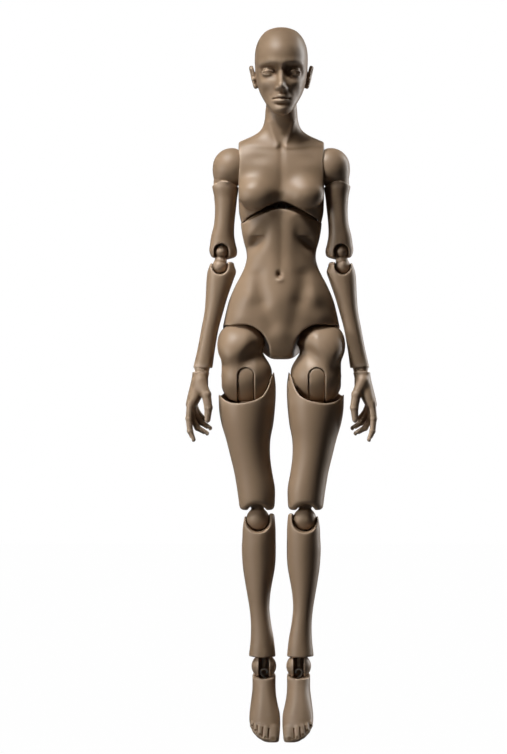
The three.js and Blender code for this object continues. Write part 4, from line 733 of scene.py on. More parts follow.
def face_relief(clay):
    """Strokes on the front of the skull, positive forwards"""
    return clay.relief(
        ([(0, 566), (0, 553)], 2.9, 3.0), (0, 549.8, 3.4, 3.6, 5.2), (0, 565.5, 6.5, 3.6, -2.2),
        ([(0, 547.6), (0, 544.6)], 1.0, -0.5), (0, 542.4, 7.0, 5.4, 1.8),
        (0, 541.7, 4.9, 1.25, 1.4), (0, 537.7, 4.5, 1.6, 2.0),
        ([(-6.1, 539.6), (-2.4, 540.2), (0, 539.8), (2.4, 540.2), (6.1, 539.6)], 0.5, -1.5),
        (0, 534.8, 4.6, 1.3, -1.6), (0, 531.2, 5.4, 3.2, 1.9), (0, 580, 16, 9, 0.9),
    ) + clay.paired(
        (3.7, 548.7, 1.7, 1.7, 2.5), (7.0, 539.5, 1.2, 1.2, -0.6), (10.0, 562.8, 7.6, 5.0, -6.6),
        (4.8, 561.8, 2.6, 4.6, -1.2), ([(3.0, 569.6), (10, 570.4), (17.0, 568.0)], 3.6, 1.5),
        (14.0, 552.4, 6.0, 4.6, 1.4), (12.6, 543.6, 4.6, 5.0, -0.9),
        ([(5.2, 549), (8.2, 542.6)], 1.8, -0.5))


def add_eye(clay, side):
    """Lids with a narrow opening, and the ball of the eye between them"""
    across = (side.x - EYE[0] - 0.2) / LID_REACH
    upper = EYE[2] + 0.1 + 1.2 * (1 - across ** 2)
    lower = EYE[2] - 0.9 - 0.6 * (1 - across ** 2)
    opening = np.maximum(np.maximum(clay.z - upper, lower - clay.z),
                         np.abs(across) * LID_REACH - 4.4)
    crease = [(EYE[0] - 4.6, EYE[2] + 1.4), (EYE[0], EYE[2] + 3.1), (EYE[0] + 4.8, EYE[2] + 1.5)]
    clay.join(side.egg(EYE, LID), 2.8)
    clay.cut(np.maximum(opening, clay.y - EYE[1]), 0.3)
    clay.body = clay.body + side.stroke(crease, 0.6, 0.6) * clay.ahead(-16, 3)
    clay.join(side.egg(EYE, EYE_BALL), 0.2)


def ear_form(side):
    """One tapered leaf that leans outwards at the top, with a bowl, a fold and a small tragus"""
    ear = side.rod((24.4, 5.2, 563.4), (21.6, 2.2, 550.8), 4.5, 2.6)
    ear = soft_max(ear, np.abs(side.x - 24.0 - 0.22 * (side.z - 560)) - 1.9, 1.6)
    ear = soft_max(ear, -side.egg((27.6, 2.6, 560.2), (3.1, 2.9, 5.6)), 1.1)
    ear = soft_min(ear, side.rod((25.0, 5.2, 563.6), (23.8, 4.4, 556.4), 1.0), 1.0)
    return soft_min(ear, side.egg((23.0, -0.6, 556.6), (1.6, 1.3, 2.0)), 0.8)


def model_skull():
    clay = Clay((-28.5, -35.5, 523), (28.5, 33, 602), 0.44)
    clay.body = clay.even(clay.column(SKULL))
    clay.cut(CROWN - clay.z)
    clay.cut(clay.z - CHIN, 1.5)
    clay.body = clay.body - face_relief(clay) * clay.ahead(-14)
    for side in clay.sides():
        add_eye(clay, side)
        clay.cut(side.egg((2.1, -30.4, 547.5), (1.0, 1.3, 0.8)), 0.5)
        clay.join(ear_form(side), 1.6)
    socket = clay.ball(NECK, NECK_BALL + BALL_GAP)
    clay.cut(np.minimum(socket, clay.rod(NECK, above(NECK, 507), NECK_BALL + BALL_GAP, 19.0)), 1.0)
    rise = np.interp(clay.y, (-9, 6, 60), (531, 540, 546)).astype(np.float32)
    clay.cut(np.maximum(clay.z - rise, -8 - clay.y), 1.4)
    clay.cut(np.maximum(clay.egg((0, 2, 573), (17.6, 23, 22.5)), 553.4 - clay.z))
    clay.cut(clay.block((-3.4, -2.9, 540), (3.4, 7.9, 556)))
    return clay


def cap_side(clay, gap):
    """Positive behind the cap plane and above the nape"""
    plane = (clay.y - 1 - CAP_LEAN * (CROWN - clay.z)) / math.hypot(1, CAP_LEAN) - gap
    return np.minimum(plane, clay.z - CAP_FOOT - gap)


skull = model_skull()
cast("head", skull, soft_max(skull.body, cap_side(skull, -CAP_GAP), 0.5), MIDDLE)
cast("head_cap", skull, soft_max(skull.body, -cap_side(skull, CAP_GAP), 0.5), MIDDLE)

# %% [markdown]
# The shoulder cap is the ball that turns in the chest, drawn out into a short sleeve. Its foot is
# a shallow cone on which the upper arm swivels, and its inner side is slotted for the stem. The
# upper arm reaches over the cone with a thin skirt, whose arched edge is the seam that shows.

# %% Shoulder cap and upper arm
UPPER_ARM = [
    (0.02, 2.2, 12.2, -12.6, 12.6), (0.1, 3.6, 10.8, -11.6, 11.6), (0.21, 3.7, 10.4, -10.8, 10.8),
    (0.3, 2.6, 10.1, -10.4, 10.4), (0.49, 1, 8.9, -9.8, 9.6), (0.68, 0.4, 8.6, -9.2, 9.2),
    (0.82, 0.4, 9.7, -9.2, 9.4), (0.92, -0.6, 10.8, -9.4, 9.8), (0.99, -1.5, 11.7, -9.2, 9.8),
    (1.05, -2.4, 11, -8.4, 9), (1.1, -2.6, 9.4, -7.4, 8),
]
ARM_TOP = (47.37, 0, 468.6)
ARM_DIRECTION = direction(ELBOW_UPPER, ARM_TOP)
SEAT_SLOPE = 0.23
ELBOW_MOUTH = (50.9, 0, 404.5)
STEM_SLOT_REACH = 24


def along_arm(distance):
    return tuple(np.array(ARM_TOP) - ARM_DIRECTION * distance)


def arm_seat(clay):
    """Height above the cone between cap and upper arm, and the distance from the arm's line"""
    dx, dz = clay.x - ARM_TOP[0], clay.z - ARM_TOP[2]
    along = dx * ARM_DIRECTION[0] + dz * ARM_DIRECTION[2]
    across = np.sqrt(np.maximum(dx * dx + dz * dz + clay.y ** 2 - along ** 2, 0))
    return (along + SEAT_SLOPE * across) / math.hypot(1, SEAT_SLOPE), across


def model_arm_shell():
    """The block with the upper arm in it, and the field of the cap above"""
    clay = Clay((22, -17.5, 398), (60, 17.5, 500), 0.5)
    sleeve = clay.even(clay.limb(SHOULDER, ELBOW_UPPER, UPPER_ARM))
    sleeve = soft_max(sleeve, clay.z - SHOULDER[2] + 2, 3.0)
    whole = soft_min(clay.ball(SHOULDER, SHOULDER_BALL), sleeve, 3.5)
    seat, across = arm_seat(clay)
    covered = whole + 0.5 * smooth_step(9.0, 4.5, seat)
    spigot = clay.bore(along_arm(0), along_arm(5), 4.8)
    clay.body = np.minimum(soft_max(covered, 0.32 - seat, 0.5),
                           np.maximum(spigot, np.maximum(seat - 3, -7 - seat)))
    slot = np.inf
    for lift in np.radians((0, 20, 40, 60)):
        end = (SHOULDER[0] - STEM_SLOT_REACH * math.cos(lift), 0,
               SHOULDER[2] + STEM_SLOT_REACH * math.sin(lift))
        slot = np.minimum(slot, clay.rod(SHOULDER, end, 3.9))
    clay.cut(slot, 0.8)
    clay.cut(clay.ball(SHOULDER, SHOULDER_CORE_BALL + BALL_GAP), 0.6)
    clay.cut(clay.rod(SHOULDER, along_arm(12), 2.9))
    cap = clay.body
    proud = whole - 0.65 * smooth_step(-9.0, -1.0, seat)
    arch_top = 4.8 * clay.y ** 2 / np.maximum(across, 1.0) ** 2
    skirt = np.maximum(np.maximum(0.12 - covered, seat - arch_top), -2.5 - seat)
    clay.body = soft_max(proud, np.minimum(seat, skirt), 0.5)
    clay.cut(np.maximum(clay.bore(along_arm(0), along_arm(5), 5.4), -7.6 - seat))
    turn = np.arctan2(clay.y, clay.x - 49)
    clay.cut(clay.z - 405.4 - 0.5 * np.cos(2 * turn) + 0.6 * np.sin(turn), 3.2)
    pocket = np.minimum(clay.rod(ELBOW_UPPER, above(ELBOW_UPPER, 380), ELBOW_UPPER_BALL + BALL_GAP),
                        clay.rod(ELBOW_MOUTH, above(ELBOW_MOUTH, 380), 5.9))
    arch = np.maximum(clay.arch(ELBOW_UPPER, 6.2), clay.y)
    clay.cut(np.minimum(pocket, arch), 1.3)
    clay.cut(clay.rod(along_arm(6), ELBOW_UPPER, 3.4))
    return clay, cap


upper_arm, cap = model_arm_shell()
cast("shoulder_cap", upper_arm, cap)
cast("upper_arm", upper_arm)

# %% [markdown]
# Elbow and knee are double joints: a core with two knobs sits between the limbs, so that each
# bends in two steps. The neck between the knobs is waisted, and the elastic runs through it.

# %% Elbow and knee cores
def knob(clay, centre, radius, front):
    """A ball whose front half is drawn out towards the viewer"""
    depth = np.where(clay.y < centre[1], max(front, radius), radius)
    return clay.egg(centre, (radius, depth, radius))


def model_core(upper, upper_radius, lower, lower_radius, neck, bore, step, shelf=None, front=0):
    reach = max(upper_radius, lower_radius) + 2
    clay = Clay((min(upper[0], lower[0]) - reach, -reach, lower[2] - reach),
                (max(upper[0], lower[0]) + reach, reach, upper[2] + reach), step)
    clay.body = knob(clay, upper, upper_radius, front)
    clay.join(knob(clay, lower, lower_radius, front), 0.9)
    clay.join(clay.rod(upper, lower, neck), 1.2)
    if shelf:
        clay.join(clay.rod(shelf, lower, neck + 1.6, lower_radius), 0.35)
    clay.cut(clay.bore(lower, upper, bore), 0.7)
    return clay


cast("elbow_core", model_core(ELBOW_UPPER, ELBOW_UPPER_BALL, ELBOW_LOWER, ELBOW_LOWER_BALL,
                              3.6, 1.9, 0.33, (50.9, 0, 403.4), 7.3))
cast("knee_core", model_core(KNEE_UPPER, KNEE_UPPER_BALL, KNEE_LOWER, KNEE_LOWER_BALL,
                             5.2, 2.2, 0.45))

# %% [markdown]
# The forearm ends above in a cup with two ears, and its front rim is a U so that the elbow can
# fold. Below it closes to a thin rim round the wrist ball.

# %% Forearm
FOREARM = [
    (-0.05, -1.6, 9.4, -8.8, 9.2), (0, -1.9, 10.6, -9.6, 10), (0.055, -2.6, 12, -10, 10.6),
    (0.13, -2.3, 11.4, -10, 10.8), (0.29, -1.9, 9.3, -9.4, 9.8), (0.44, -1.7, 7.9, -8.6, 8.6),
    (0.6, -0.9, 7.3, -7.8, 7.8), (0.75, -0.7, 7.3, -7.2, 7.2), (0.87, -0.6, 7.6, -7, 7),
    (0.95, -0.5, 8, -7.2, 7.2), (1, -0.4, 8.1, -7.2, 7.2),
]
FOREARM_MOUTH = (51.6, 0, 399.2)
CUP_REACH = 30


def cup(clay, centre, radius, reach=CUP_REACH):
    """The seat of a ball with its open mouth, above the ball or, with a minus, below it"""
    return clay.rod(centre, above(centre, centre[2] + reach), radius + BALL_GAP)


def model_forearm():
    clay = Clay((36, -12.5, 313), (78, 12.5, 405), 0.46)
    clay.body = clay.even(clay.limb(ELBOW_LOWER, WRIST, FOREARM))
    clay.cut(402.8 - 2.8 * smooth_step(0, 7, clay.y) - clay.z, 2.6)
    mouth = clay.arch(FOREARM_MOUTH, ELBOW_LOWER_BALL + BALL_GAP, False)
    clay.cut(np.maximum(mouth - 0.08 * np.maximum(-clay.y, 0), clay.y), 1.2)
    clay.cut(cup(clay, ELBOW_LOWER, ELBOW_LOWER_BALL), 1.0)
    clay.cut(clay.z - 313.7, 0.8)
    clay.cut(clay.ball(WRIST, WRIST_BALL + BALL_GAP), 0.5)
    clay.cut(clay.rod(ELBOW_LOWER, WRIST, 2.8))
    return clay


cast("forearm", model_forearm())

# %% [markdown]
# The top of the thigh turns in the pelvis, and the ball below it is fused to it. An arched slot
# runs through the front of the ball. The tongue of the core fills the slot and bends in it, and
# the rim of its arch catches the light.

# %% Upper thigh and its core
THIGH_SLOT = 7.1
THIGH_OUTER = 20.9
TONGUE_RECESS = 0.95
TONGUE_STEM, TONGUE_FOOT = 5.6, 271.0


def model_upper_thigh():
    clay = Clay((5, -28, 283), (56, 29, 354), 0.66)
    valley = 325.5 - 20 * smooth_step(22, 44, clay.x) + 8 * smooth_step(42, 53, clay.x)
    clay.body = hip_form(clay, 0)
    clay.cut(clay.z - valley, 22.0)
    clay.join(barrel(clay, THIGH, THIGH_BALL, THIGH_BALL, THIGH_OUTER, 2.0, 2.7),
              9.0 - 6.0 * smooth_step(36, 48, clay.x))
    pocket = np.maximum(clay.ball(THIGH, THIGH_BALL - 0.8), np.abs(clay.x - THIGH[0]) - THIGH_SLOT)
    slot = np.maximum(clay.arch(THIGH, THIGH_SLOT), clay.y - 6.2)
    clay.cut(np.minimum(pocket, slot), 0.5)
    clay.cut(clay.rod((26, 1, 354), above(THIGH, 318), 3.8))
    return clay


def model_thigh_core():
    clay = Clay((20, -23, 269), (40, 22, 330), 0.5)
    clay.body = clay.ball(THIGH, THIGH_BALL - TONGUE_RECESS)
    clay.cut(-clay.arch(THIGH, THIGH_SLOT - 0.4), 1.2)
    clay.join(clay.rod(above(THIGH, 297), above(THIGH, 276.8), TONGUE_STEM), 0.6)
    clay.cut(clay.z - TONGUE_FOOT, 0.5)
    clay.cut(clay.bore(above(THIGH, 300), above(THIGH, 270), 2.6), 0.5)
    return clay


cast("upper_thigh", model_upper_thigh())
cast("thigh_core", model_thigh_core())

# %% [markdown]
# The lower thigh is a tall cup above, with a thin sanded rim, and a square-shouldered end with
# rounded corners at the knee.

# %% Lower thigh
LOWER_THIGH = [
    (-0.02, -0.7, 23.4, -22.6, 22.8), (0.07, -0.4, 24, -23.8, 23.6), (0.17, 0.5, 24, -24, 24),
    (0.28, 1.7, 23.4, -23.6, 24), (0.39, 2.4, 21.8, -22.4, 23.2), (0.52, 2.9, 18.6, -20.2, 21.2),
    (0.65, 2.6, 16.8, -18.4, 19.4), (0.78, 1.4, 16, -17.2, 18), (0.91, 0.3, 16, -16.8, 16.8),
    (1.01, 0.5, 15.3, -16.2, 15.6), (1.08, 1, 14.6, -15.2, 14.8),
]
# Height of the front rim at places across, a lopsided U
THIGH_RIM = [
    (5, 313), (8, 308), (9.4, 304), (11, 298.6), (13.2, 294), (16.4, 290), (22, 287), (28, 285.3),
    (34, 284.2), (39.5, 284.2), (44, 285.4), (48.2, 287.6), (51, 290.2), (54, 294.0), (57, 298),
]


def model_lower_thigh():
    clay = Clay((3, -25.5, 193), (56, 25.5, 309), 0.72)
    clay.body = clay.even(clay.limb(THIGH, KNEE_UPPER, LOWER_THIGH))
    turn = smooth_step(-3, 13, clay.y)
    rim = stations(THIGH_RIM, clay.x)[0] * (1 - turn)
    clay.cut(rim + (303 - 12 * smooth_step(36, 52, clay.x)) * turn - clay.z, 1.0)
    hollow = np.sqrt((clay.x - 29.2) ** 2 + clay.y ** 2) - 22.0
    clay.cut(soft_max(hollow, 281.6 - clay.z, 6.0), 0.8)
    sides = np.clip(np.abs(np.cos(np.arctan2(clay.y, clay.x - 20.8))) * 1.25, 0, 1)
    edge = np.where(clay.y < 0, 199.4, 209.0)
    clay.cut(clay.z - edge - (194.4 - edge) * sides ** np.where(clay.y < 0, 2, 4), 4.2)
    pocket = cup(clay, KNEE_UPPER, KNEE_UPPER_BALL, -CUP_REACH)
    slot = np.maximum(clay.arch(KNEE_UPPER, 7.0), -clay.y)
    clay.cut(np.minimum(pocket, slot), 1.3)
    stem = clay.bore(above(THIGH, 280), above(THIGH, 270), TONGUE_STEM + 0.5)
    clay.cut(np.maximum(stem, 270.6 - clay.z))
    clay.cut(clay.rod(above(THIGH, 266), (20.6, 0, 212), 5.4))
    return clay


cast("lower_thigh", model_lower_thigh())

# %% [markdown]
# The shin has the same kind of cup as the forearm, deeper in front, and a soft edge runs down
# its front over the bone.

# %% Shin
SHIN = [
    (-0.06, -2, 11.4, -10, 9.6), (-0.02, -1.6, 12.6, -12, 11.6), (0.06, -0.8, 13.8, -13.4, 13),
    (0.12, -0.4, 14, -13.2, 14.4), (0.2, 0.2, 14.3, -12.6, 16), (0.28, 0.5, 14.0, -11.8, 16.4),
    (0.34, 0.85, 13.3, -11.3, 15.7), (0.4, 1.25, 12.1, -10.8, 14.3), (0.46, 1.65, 10.8, -10.3, 12.5),
    (0.52, 1.85, 9.6, -9.7, 10.9), (0.61, 1.7, 8.4, -8.8, 9.2),
    (0.71, 1, 8.5, -8.8, 9), (0.82, 0.5, 9.8, -9.6, 10.4), (0.94, 1.1, 11.4, -11, 12),
]


def model_shin():
    clay = Clay((2, -15.5, 69), (36, 18.5, 195), 0.6)
    bone = clay.stroke([(18.2, 168), (17.6, 120), (15.8, 84)], 4.5, 0.45) * clay.ahead(0, 5)
    clay.body = clay.even(clay.limb(KNEE_LOWER, ANKLE, SHIN) - bone)
    top = 191.0 - 0.06 * (clay.x - KNEE_LOWER[0]) - 2.2 * smooth_step(1, 9, clay.y)
    clay.cut(top - clay.z, 2.4)
    flare = KNEE_LOWER_BALL + BALL_GAP + 1.7 * smooth_step(-1, -13, clay.y)
    clay.cut(clay.arch(KNEE_LOWER, np.where(clay.y < 0, flare, 8.2), False), 1.2)
    clay.cut(cup(clay, KNEE_LOWER, KNEE_LOWER_BALL), 1.1)
    clay.cut(clay.z - 70.6 - 0.007 * (clay.x - 15) ** 2, 1.3)
    clay.cut(clay.ball(ANKLE, ANKLE_BALL + BALL_GAP), 0.6)
    clay.cut(clay.rod(KNEE_LOWER, ANKLE, 3.6))
    return clay


cast("shin", model_shin())

# %% [markdown]
# The ankle ball is slotted from the front, deep enough to show the hook that holds the elastic.

# %% Ankle ball and wrist ball
def model_ankle_ball():
    clay = Clay((3, -11, 52), (26, 13, 75), 0.36)
    clay.body = clay.ball(ANKLE, ANKLE_BALL)
    clay.cut(clay.block((ANKLE[0] - 4.3, -20, 40),
                        (ANKLE[0] + 4.3, ANKLE[1] + 5.6, ANKLE[2] + 7.2)), 0.9)
    clay.cut(np.maximum(clay.bore(ANKLE, above(ANKLE, 80), 3.1), ANKLE[2] - clay.z), 0.6)
    return clay


def model_wrist_ball():
    clay = Clay((59, -7.5, 305), (74, 7.5, 320), 0.26)
    clay.body = clay.ball(WRIST, WRIST_BALL)
    clay.cut(clay.block((50, -1.9, 295), (80, 1.9, WRIST[2])), 0.6)
    clay.cut(clay.bore(WRIST, ELBOW_LOWER, 2.4), 0.5)
    return clay


cast("ankle_ball", model_ankle_ball())
cast("wrist_ball", model_wrist_ball())

# %% [markdown]
# The foot is stretched downwards, so the front view looks down on the instep and the toes. Each
# toe is its own small form, with a cleft beside it and a nail set into its tip.

# %% Foot
FOOT = [
    (0, 8.2, 3.2, -33.8, -30), (1, 8.8, 5.6, -34.6, -28), (3.5, 10.8, 8.2, -34.6, -24),
    (8, 12.4, 11.0, -33.2, -18), (12, 13.2, 12.2, -31.2, -13.5), (17, 13.8, 12.9, -28.4, -8.6),
    (24, 14.0, 12.7, -25, -3.4), (31, 14.4, 11.5, -21.4, 4), (38, 14.6, 10.4, -17.6, 11.4),
    (44, 14.5, 9.8, -14.4, 14.4), (50, 14.5, 9.7, -11.8, 14), (56, 14.5, 9.8, -10, 12.6),
    (62, 14.6, 9.9, -9.4, 12),
]
FOOT_POWER = 2.2
# Across, height of the tip, half width, and how far up the toe reaches
TOES = [(6.3, 2.6, 4.4, 11.5), (13.3, 3.4, 2.7, 12.5), (18.1, 5.8, 2.4, 13.5),
        (21.9, 9.2, 2.0, 15.0), (24.6, 13.0, 1.5, 17.0)]
# Across, lower and upper end of the cleft beside each toe
CLEFTS = [(10.8, 4.4, 11.4), (15.9, 5.4, 12.4), (20.2, 7.8, 13.8), (23.4, 11.4, 15.6)]


def foot_face(x, *heights):
    """How far forward the bare foot reaches at some heights, at a place across"""
    middle, half, front, back = stations(FOOT, np.array(heights))
    out = np.clip(np.abs(x - middle) / half, 0, 0.98)
    return (front + back) / 2 + (front - back) / 2 * (1 - out ** FOOT_POWER) ** (1 / FOOT_POWER)


def model_foot():
    clay = Clay((0.3, -37, -1), (28, 16.5, 61.5), 0.42)
    clay.body = clay.even(clay.tube(*stations(FOOT, clay.z), FOOT_POWER))
    for x, tip, radius, top in TOES:
        low, high = foot_face(x, tip + 1.5, top - 2)
        toe = clay.rod((x, low + radius * 0.72, tip + 1.2),
                       (x * 0.97 + 0.4, high + radius * 1.1, top - 1), radius, radius * 0.95)
        clay.join(toe, 2.2)
    for x, low, top in CLEFTS:
        cleft = clay.stroke([(x + 0.2, low), (x - 0.3, top)], 0.6, 2.0 - 0.055 * x)
        clay.body = clay.body + cleft * smooth_step(-13, -20, clay.y)
    for x, tip, radius, top in TOES:
        face = foot_face(x, tip + 1.0)[0]
        nail = clay.egg((x, face - radius * 0.34, tip + 1.0), (radius * 0.6, 0.7, radius * 0.62))
        clay.cut(nail, 0.4)
    clay.cut(clay.egg((-4.5, 2, 26), (7.0, 12, 11)), 4.0)
    bones = clay.relief(([(12.5, 50), (9.5, 24)], 3.2, 0.35), ([(17, 46), (18, 22)], 3.0, 0.3))
    clay.body = clay.body - bones * smooth_step(-6, -14, clay.y)
    turn = np.arctan2(clay.y - 1, clay.x - 14.5)
    clay.cut(56.0 + 3.6 * np.sin(turn) - 0.4 * np.cos(2 * turn) - clay.z, 0.9)
    clay.cut(clay.ball(ANKLE, ANKLE_BALL + BALL_GAP), 0.7)
    clay.cut(clay.z, 0.6)
    clay.cut(clay.rod(above(ANKLE, 62), above(ANKLE, 48), 4.4))
    return clay


cast("foot", model_foot())

# %% [markdown]
# The hand hangs relaxed. The palm is a flat block that leans forward to the index finger, and
# each finger is a chain of tapering lengths that are blended like wax, with a nail at its tip.

# %% Hand
PALM = [
    (-33, 9.4, 3.6, -9.8, 8.6), (-29.7, 8.6, 5.0, -11, 9.6), (-23.1, 6.2, 6.2, -11.4, 9.8),
    (-14.9, 2.8, 7.6, -9.8, 8.6), (-6.6, 1.6, 6.9, -7.8, 7.4), (0, 0.4, 7.6, -7.2, 7.2),
    (4, 0.2, 7.6, -7.2, 7.2),
]
# Joints from knuckle to tip, as steps from the wrist centre: outwards, towards the back, up
FINGERS = [
    [(9.6, -8.0, -28), (11.0, -8.4, -41), (10.0, -9, -51.6), (7.2, -9.4, -58.8)],
    [(9.6, -3, -28.5), (8.6, -2.6, -40.5), (3.8, -2.6, -49), (-4.0, -3, -53.6)],
    [(8.6, 2, -27.5), (6.2, 2, -37), (0.8, 1.4, -44.4), (-6.6, 0.6, -49.2)],
    [(7.4, 6.4, -25.6), (5.0, 6.8, -33.8), (0.8, 6.2, -39.6), (-4.4, 5.6, -43.2)],
]
FINGER_RADII, LITTLE_FINGER_SCALE = (3.1, 2.75, 2.45, 1.95), 0.9
THUMB = [(1.6, -6.2, -10), (-3.6, -10.4, -21), (-5.4, -11.6, -32), (-4.6, -11.8, -42)]
THUMB_RADII = (5.0, 4.0, 3.4, 2.6)
NAIL = (0.9, 1.35, 1.8)


def digit(clay, joints, radii, scale=1.0):
    places = [tuple(np.add(WRIST, joint)) for joint in joints]
    radii = [radius * scale for radius in radii]
    body = clay.rod(places[0], places[1], radii[0], radii[1])
    for k in (1, 2):
        body = soft_min(body, clay.rod(places[k], places[k + 1], radii[k], radii[k + 1]), 0.9)
    for k in (1, 2):
        body = soft_min(body, clay.ball(places[k], radii[k] * 1.04), 0.5)
    along = direction(places[2], places[3])
    outwards = np.cross(along, (0, 1, 0))
    nail = places[3] + outwards * radii[3] * 0.95 - along * 0.6
    return soft_max(body, -clay.egg(nail, NAIL), 0.3)


def model_hand():
    clay = Clay((56, -16, 250), (82, 13, 313), 0.34)
    middle, half, front, back = stations(PALM, clay.z - WRIST[2])
    clay.body = clay.even(clay.tube(WRIST[0] + middle, half, front, back, 2.3))
    clay.cut(clay.z - WRIST[2] + 32.5, 3.0)
    for joints in FINGERS:
        little = joints is FINGERS[3]
        clay.join(digit(clay, joints, FINGER_RADII, LITTLE_FINGER_SCALE if little else 1.0), 1.5)
    clay.join(digit(clay, THUMB, THUMB_RADII), 3.0)
    for one, other in zip(FINGERS, FINGERS[1:]):
        y = (one[0][1] + other[0][1]) / 2
        clay.cut(clay.rod((WRIST[0] + 16, y, WRIST[2] - 25),
                          (WRIST[0] + 15, y, WRIST[2] - 36), 0.9), 1.0)
    clay.cut(311.2 - 0.018 * (clay.x - 67) ** 2 - clay.z, 0.7)
    clay.cut(clay.ball(WRIST, WRIST_BALL + BALL_GAP), 0.5)
    clay.cut(clay.rod(WRIST, (67.4, 0, 301), 3.2))
    return clay


cast("hand", model_hand())

# %% [markdown]
# The core of each shoulder hides in the chest and the cap. Its knob turns in the cap, and its
# stem ends in a disc inside the chest, so that the whole arm swings about the stem.

# %% Shoulder core
def model_shoulder_core():
    clay = Clay((15, -8, 474), (50, 8, 491), 0.4)
    reach = np.sqrt(clay.y ** 2 + (clay.z - SHOULDER[2]) ** 2)
    clay.body = clay.rod((16, 0, SHOULDER[2]), SHOULDER, 3.4)
    clay.join(clay.ball(SHOULDER, SHOULDER_CORE_BALL), 2.0)
    clay.join(soft_max(reach - 6.5, np.abs(clay.x - 17.6) - 1.5, 0.5), 0.8)
    clay.cut(clay.x - 16.1, 0.4)
    clay.cut(clay.bore((10, 0, SHOULDER[2]), SHOULDER, 1.9), 0.5)
    return clay


cast("shoulder_core", model_shoulder_core())

# %% [markdown]
# Metal and cord finishes. The hooks are drawn steel wire, with fine scratches along it and a
# little tarnish. The magnets are nickel plated. The elastic has a woven cover, so its height
# is two sets of thin bands that cross, like the threads of a braid.

# %% Metal and elastic finishes
def make_wire_steel():
    finish = Finish("wire_steel", Metallic=1.0)
    tarnish = finish.noise(260.0, 4.0)
    finish.put(Base_Color=finish.mix(tarnish, (0.60, 0.59, 0.57), (0.42, 0.40, 0.37)),
               Roughness=0.24 + finish.noise(1400.0, 2.0) * 0.22,
               Normal=finish.bump(finish.noise(2600.0, 2.0), 0.00002, 0.4))
    return finish.material


def make_nickel():
    finish = Finish("nickel_plate", Metallic=1.0)
    wear = finish.noise(700.0)
    finish.put(Base_Color=finish.mix(wear, (0.66, 0.63, 0.58), (0.56, 0.53, 0.48)),
               Roughness=0.16 + wear * 0.2, Normal=finish.bump(wear, 0.00001, 0.3))
    return finish.material


def make_braid():
    finish = Finish("braided_elastic", Roughness=0.75, Sheen_Weight=0.3)
    threads = []
    for turn in (0.9, -0.9):
        turned_place = finish.node("Mapping", "Vector", Vector=finish.place(),
                                   Rotation=(0, turn, 0.4))
        threads.append(finish.node("TexWave", "Fac", {"bands_direction": "Z"},
                                   Vector=turned_place, Scale=420.0, Distortion=0.6))
    woven = threads[0] * threads[1]
    finish.put(Base_Color=finish.mix(woven, (0.50, 0.47, 0.42), (0.74, 0.71, 0.65)),
               Normal=finish.bump(woven, 0.00012, 0.7))
    return finish.material


wire_steel, nickel, braid = make_wire_steel(), make_nickel(), make_braid()
print("finishes:", wire_steel.name, nickel.name, braid.name)

# %% [markdown]
# A bent wire is a curve with a round section, which is made a mesh once its path is right. The
# same tool draws the elastics, one length for each casting that they run through, so that a
# limb that moves takes its own length along.

# %% Wire and cord tool
def bent(name, path, radius, finish, body, node, turns=5):
    """A round wire through the places of a path, in millimetres over the toe tips"""
    data = bpy.data.curves.new(name, "CURVE")
    data.dimensions, data.bevel_depth, data.bevel_resolution = "3D", radius / 1000, turns
    data.use_fill_caps, data.resolution_u = True, 8
    line = data.splines.new("BEZIER")
    line.bezier_points.add(len(path) - 1)
    for dot, place in zip(line.bezier_points, path):
        dot.co = (place[0] / 1000, place[1] / 1000, (place[2] - SADDLE_HEIGHT) / 1000)
        dot.handle_left_type = dot.handle_right_type = "AUTO"
    curve = stand(name, data)
    bpy.ops.object.select_all(action="DESELECT")
    curve.select_set(True)
    bpy.context.view_layer.objects.active = curve
    bpy.ops.object.convert(target="MESH")
    piece = bpy.context.object
    bpy.ops.object.mode_set(mode="EDIT")
    bpy.ops.mesh.select_all(action="SELECT")
    bpy.ops.mesh.remove_doubles(threshold=0.000005)
    bpy.ops.mesh.normals_make_consistent(inside=False)
    bpy.ops.object.mode_set(mode="OBJECT")
    bpy.ops.object.shade_smooth_by_angle(angle=math.radians(50))
    piece.data.materials.clear()
    piece.data.materials.append(finish)
    dress(piece, body, node)


# %% [markdown]
# The S hooks in the wrists and ankles hold the ends of the elastics. A pin across the room in
# the hand or the foot keeps each from being drawn out.

# %% Hooks
# Across and along the hook, counted from the joint centre
HOOK_S = [(-2.1, -4.8), (-1.9, -2.8), (0, -1.9), (1.9, -2.8), (2.1, -4.6), (0.7, -6.6),
          (-0.9, -8.3), (-2.1, -10.4), (-1.7, -12.4), (0, -13.2), (1.7, -12.4), (2.1, -10.8)]
HOOK_WIRE = 0.8
WRIST_DIRECTION = direction(WRIST, ELBOW_LOWER)


def hang_hook(name, centre, way, size, body):
    for side, suffix in BOTH:
        path = [((centre[0] + (way[2] * across + way[0] * along) * size) * side, centre[1],
                 centre[2] + (way[2] * along - way[0] * across) * size) for across, along in HOOK_S]
        bent(name + suffix + "_wire", path, HOOK_WIRE * size, wire_steel, body + suffix,
             name + suffix)


hang_hook("wrist_hook", WRIST, WRIST_DIRECTION, 1.0, "hand")
hang_hook("ankle_hook", ANKLE, (0, 0, 1), 1.25, "foot")
print("hooks hung")

# %% [markdown]
# The neck hook is a T: its bar lies across the slot in the floor of the head, and the ring at
# its foot is where a neck elastic would be tied. One wire is the shank with the ring, and a
# second is the bar.

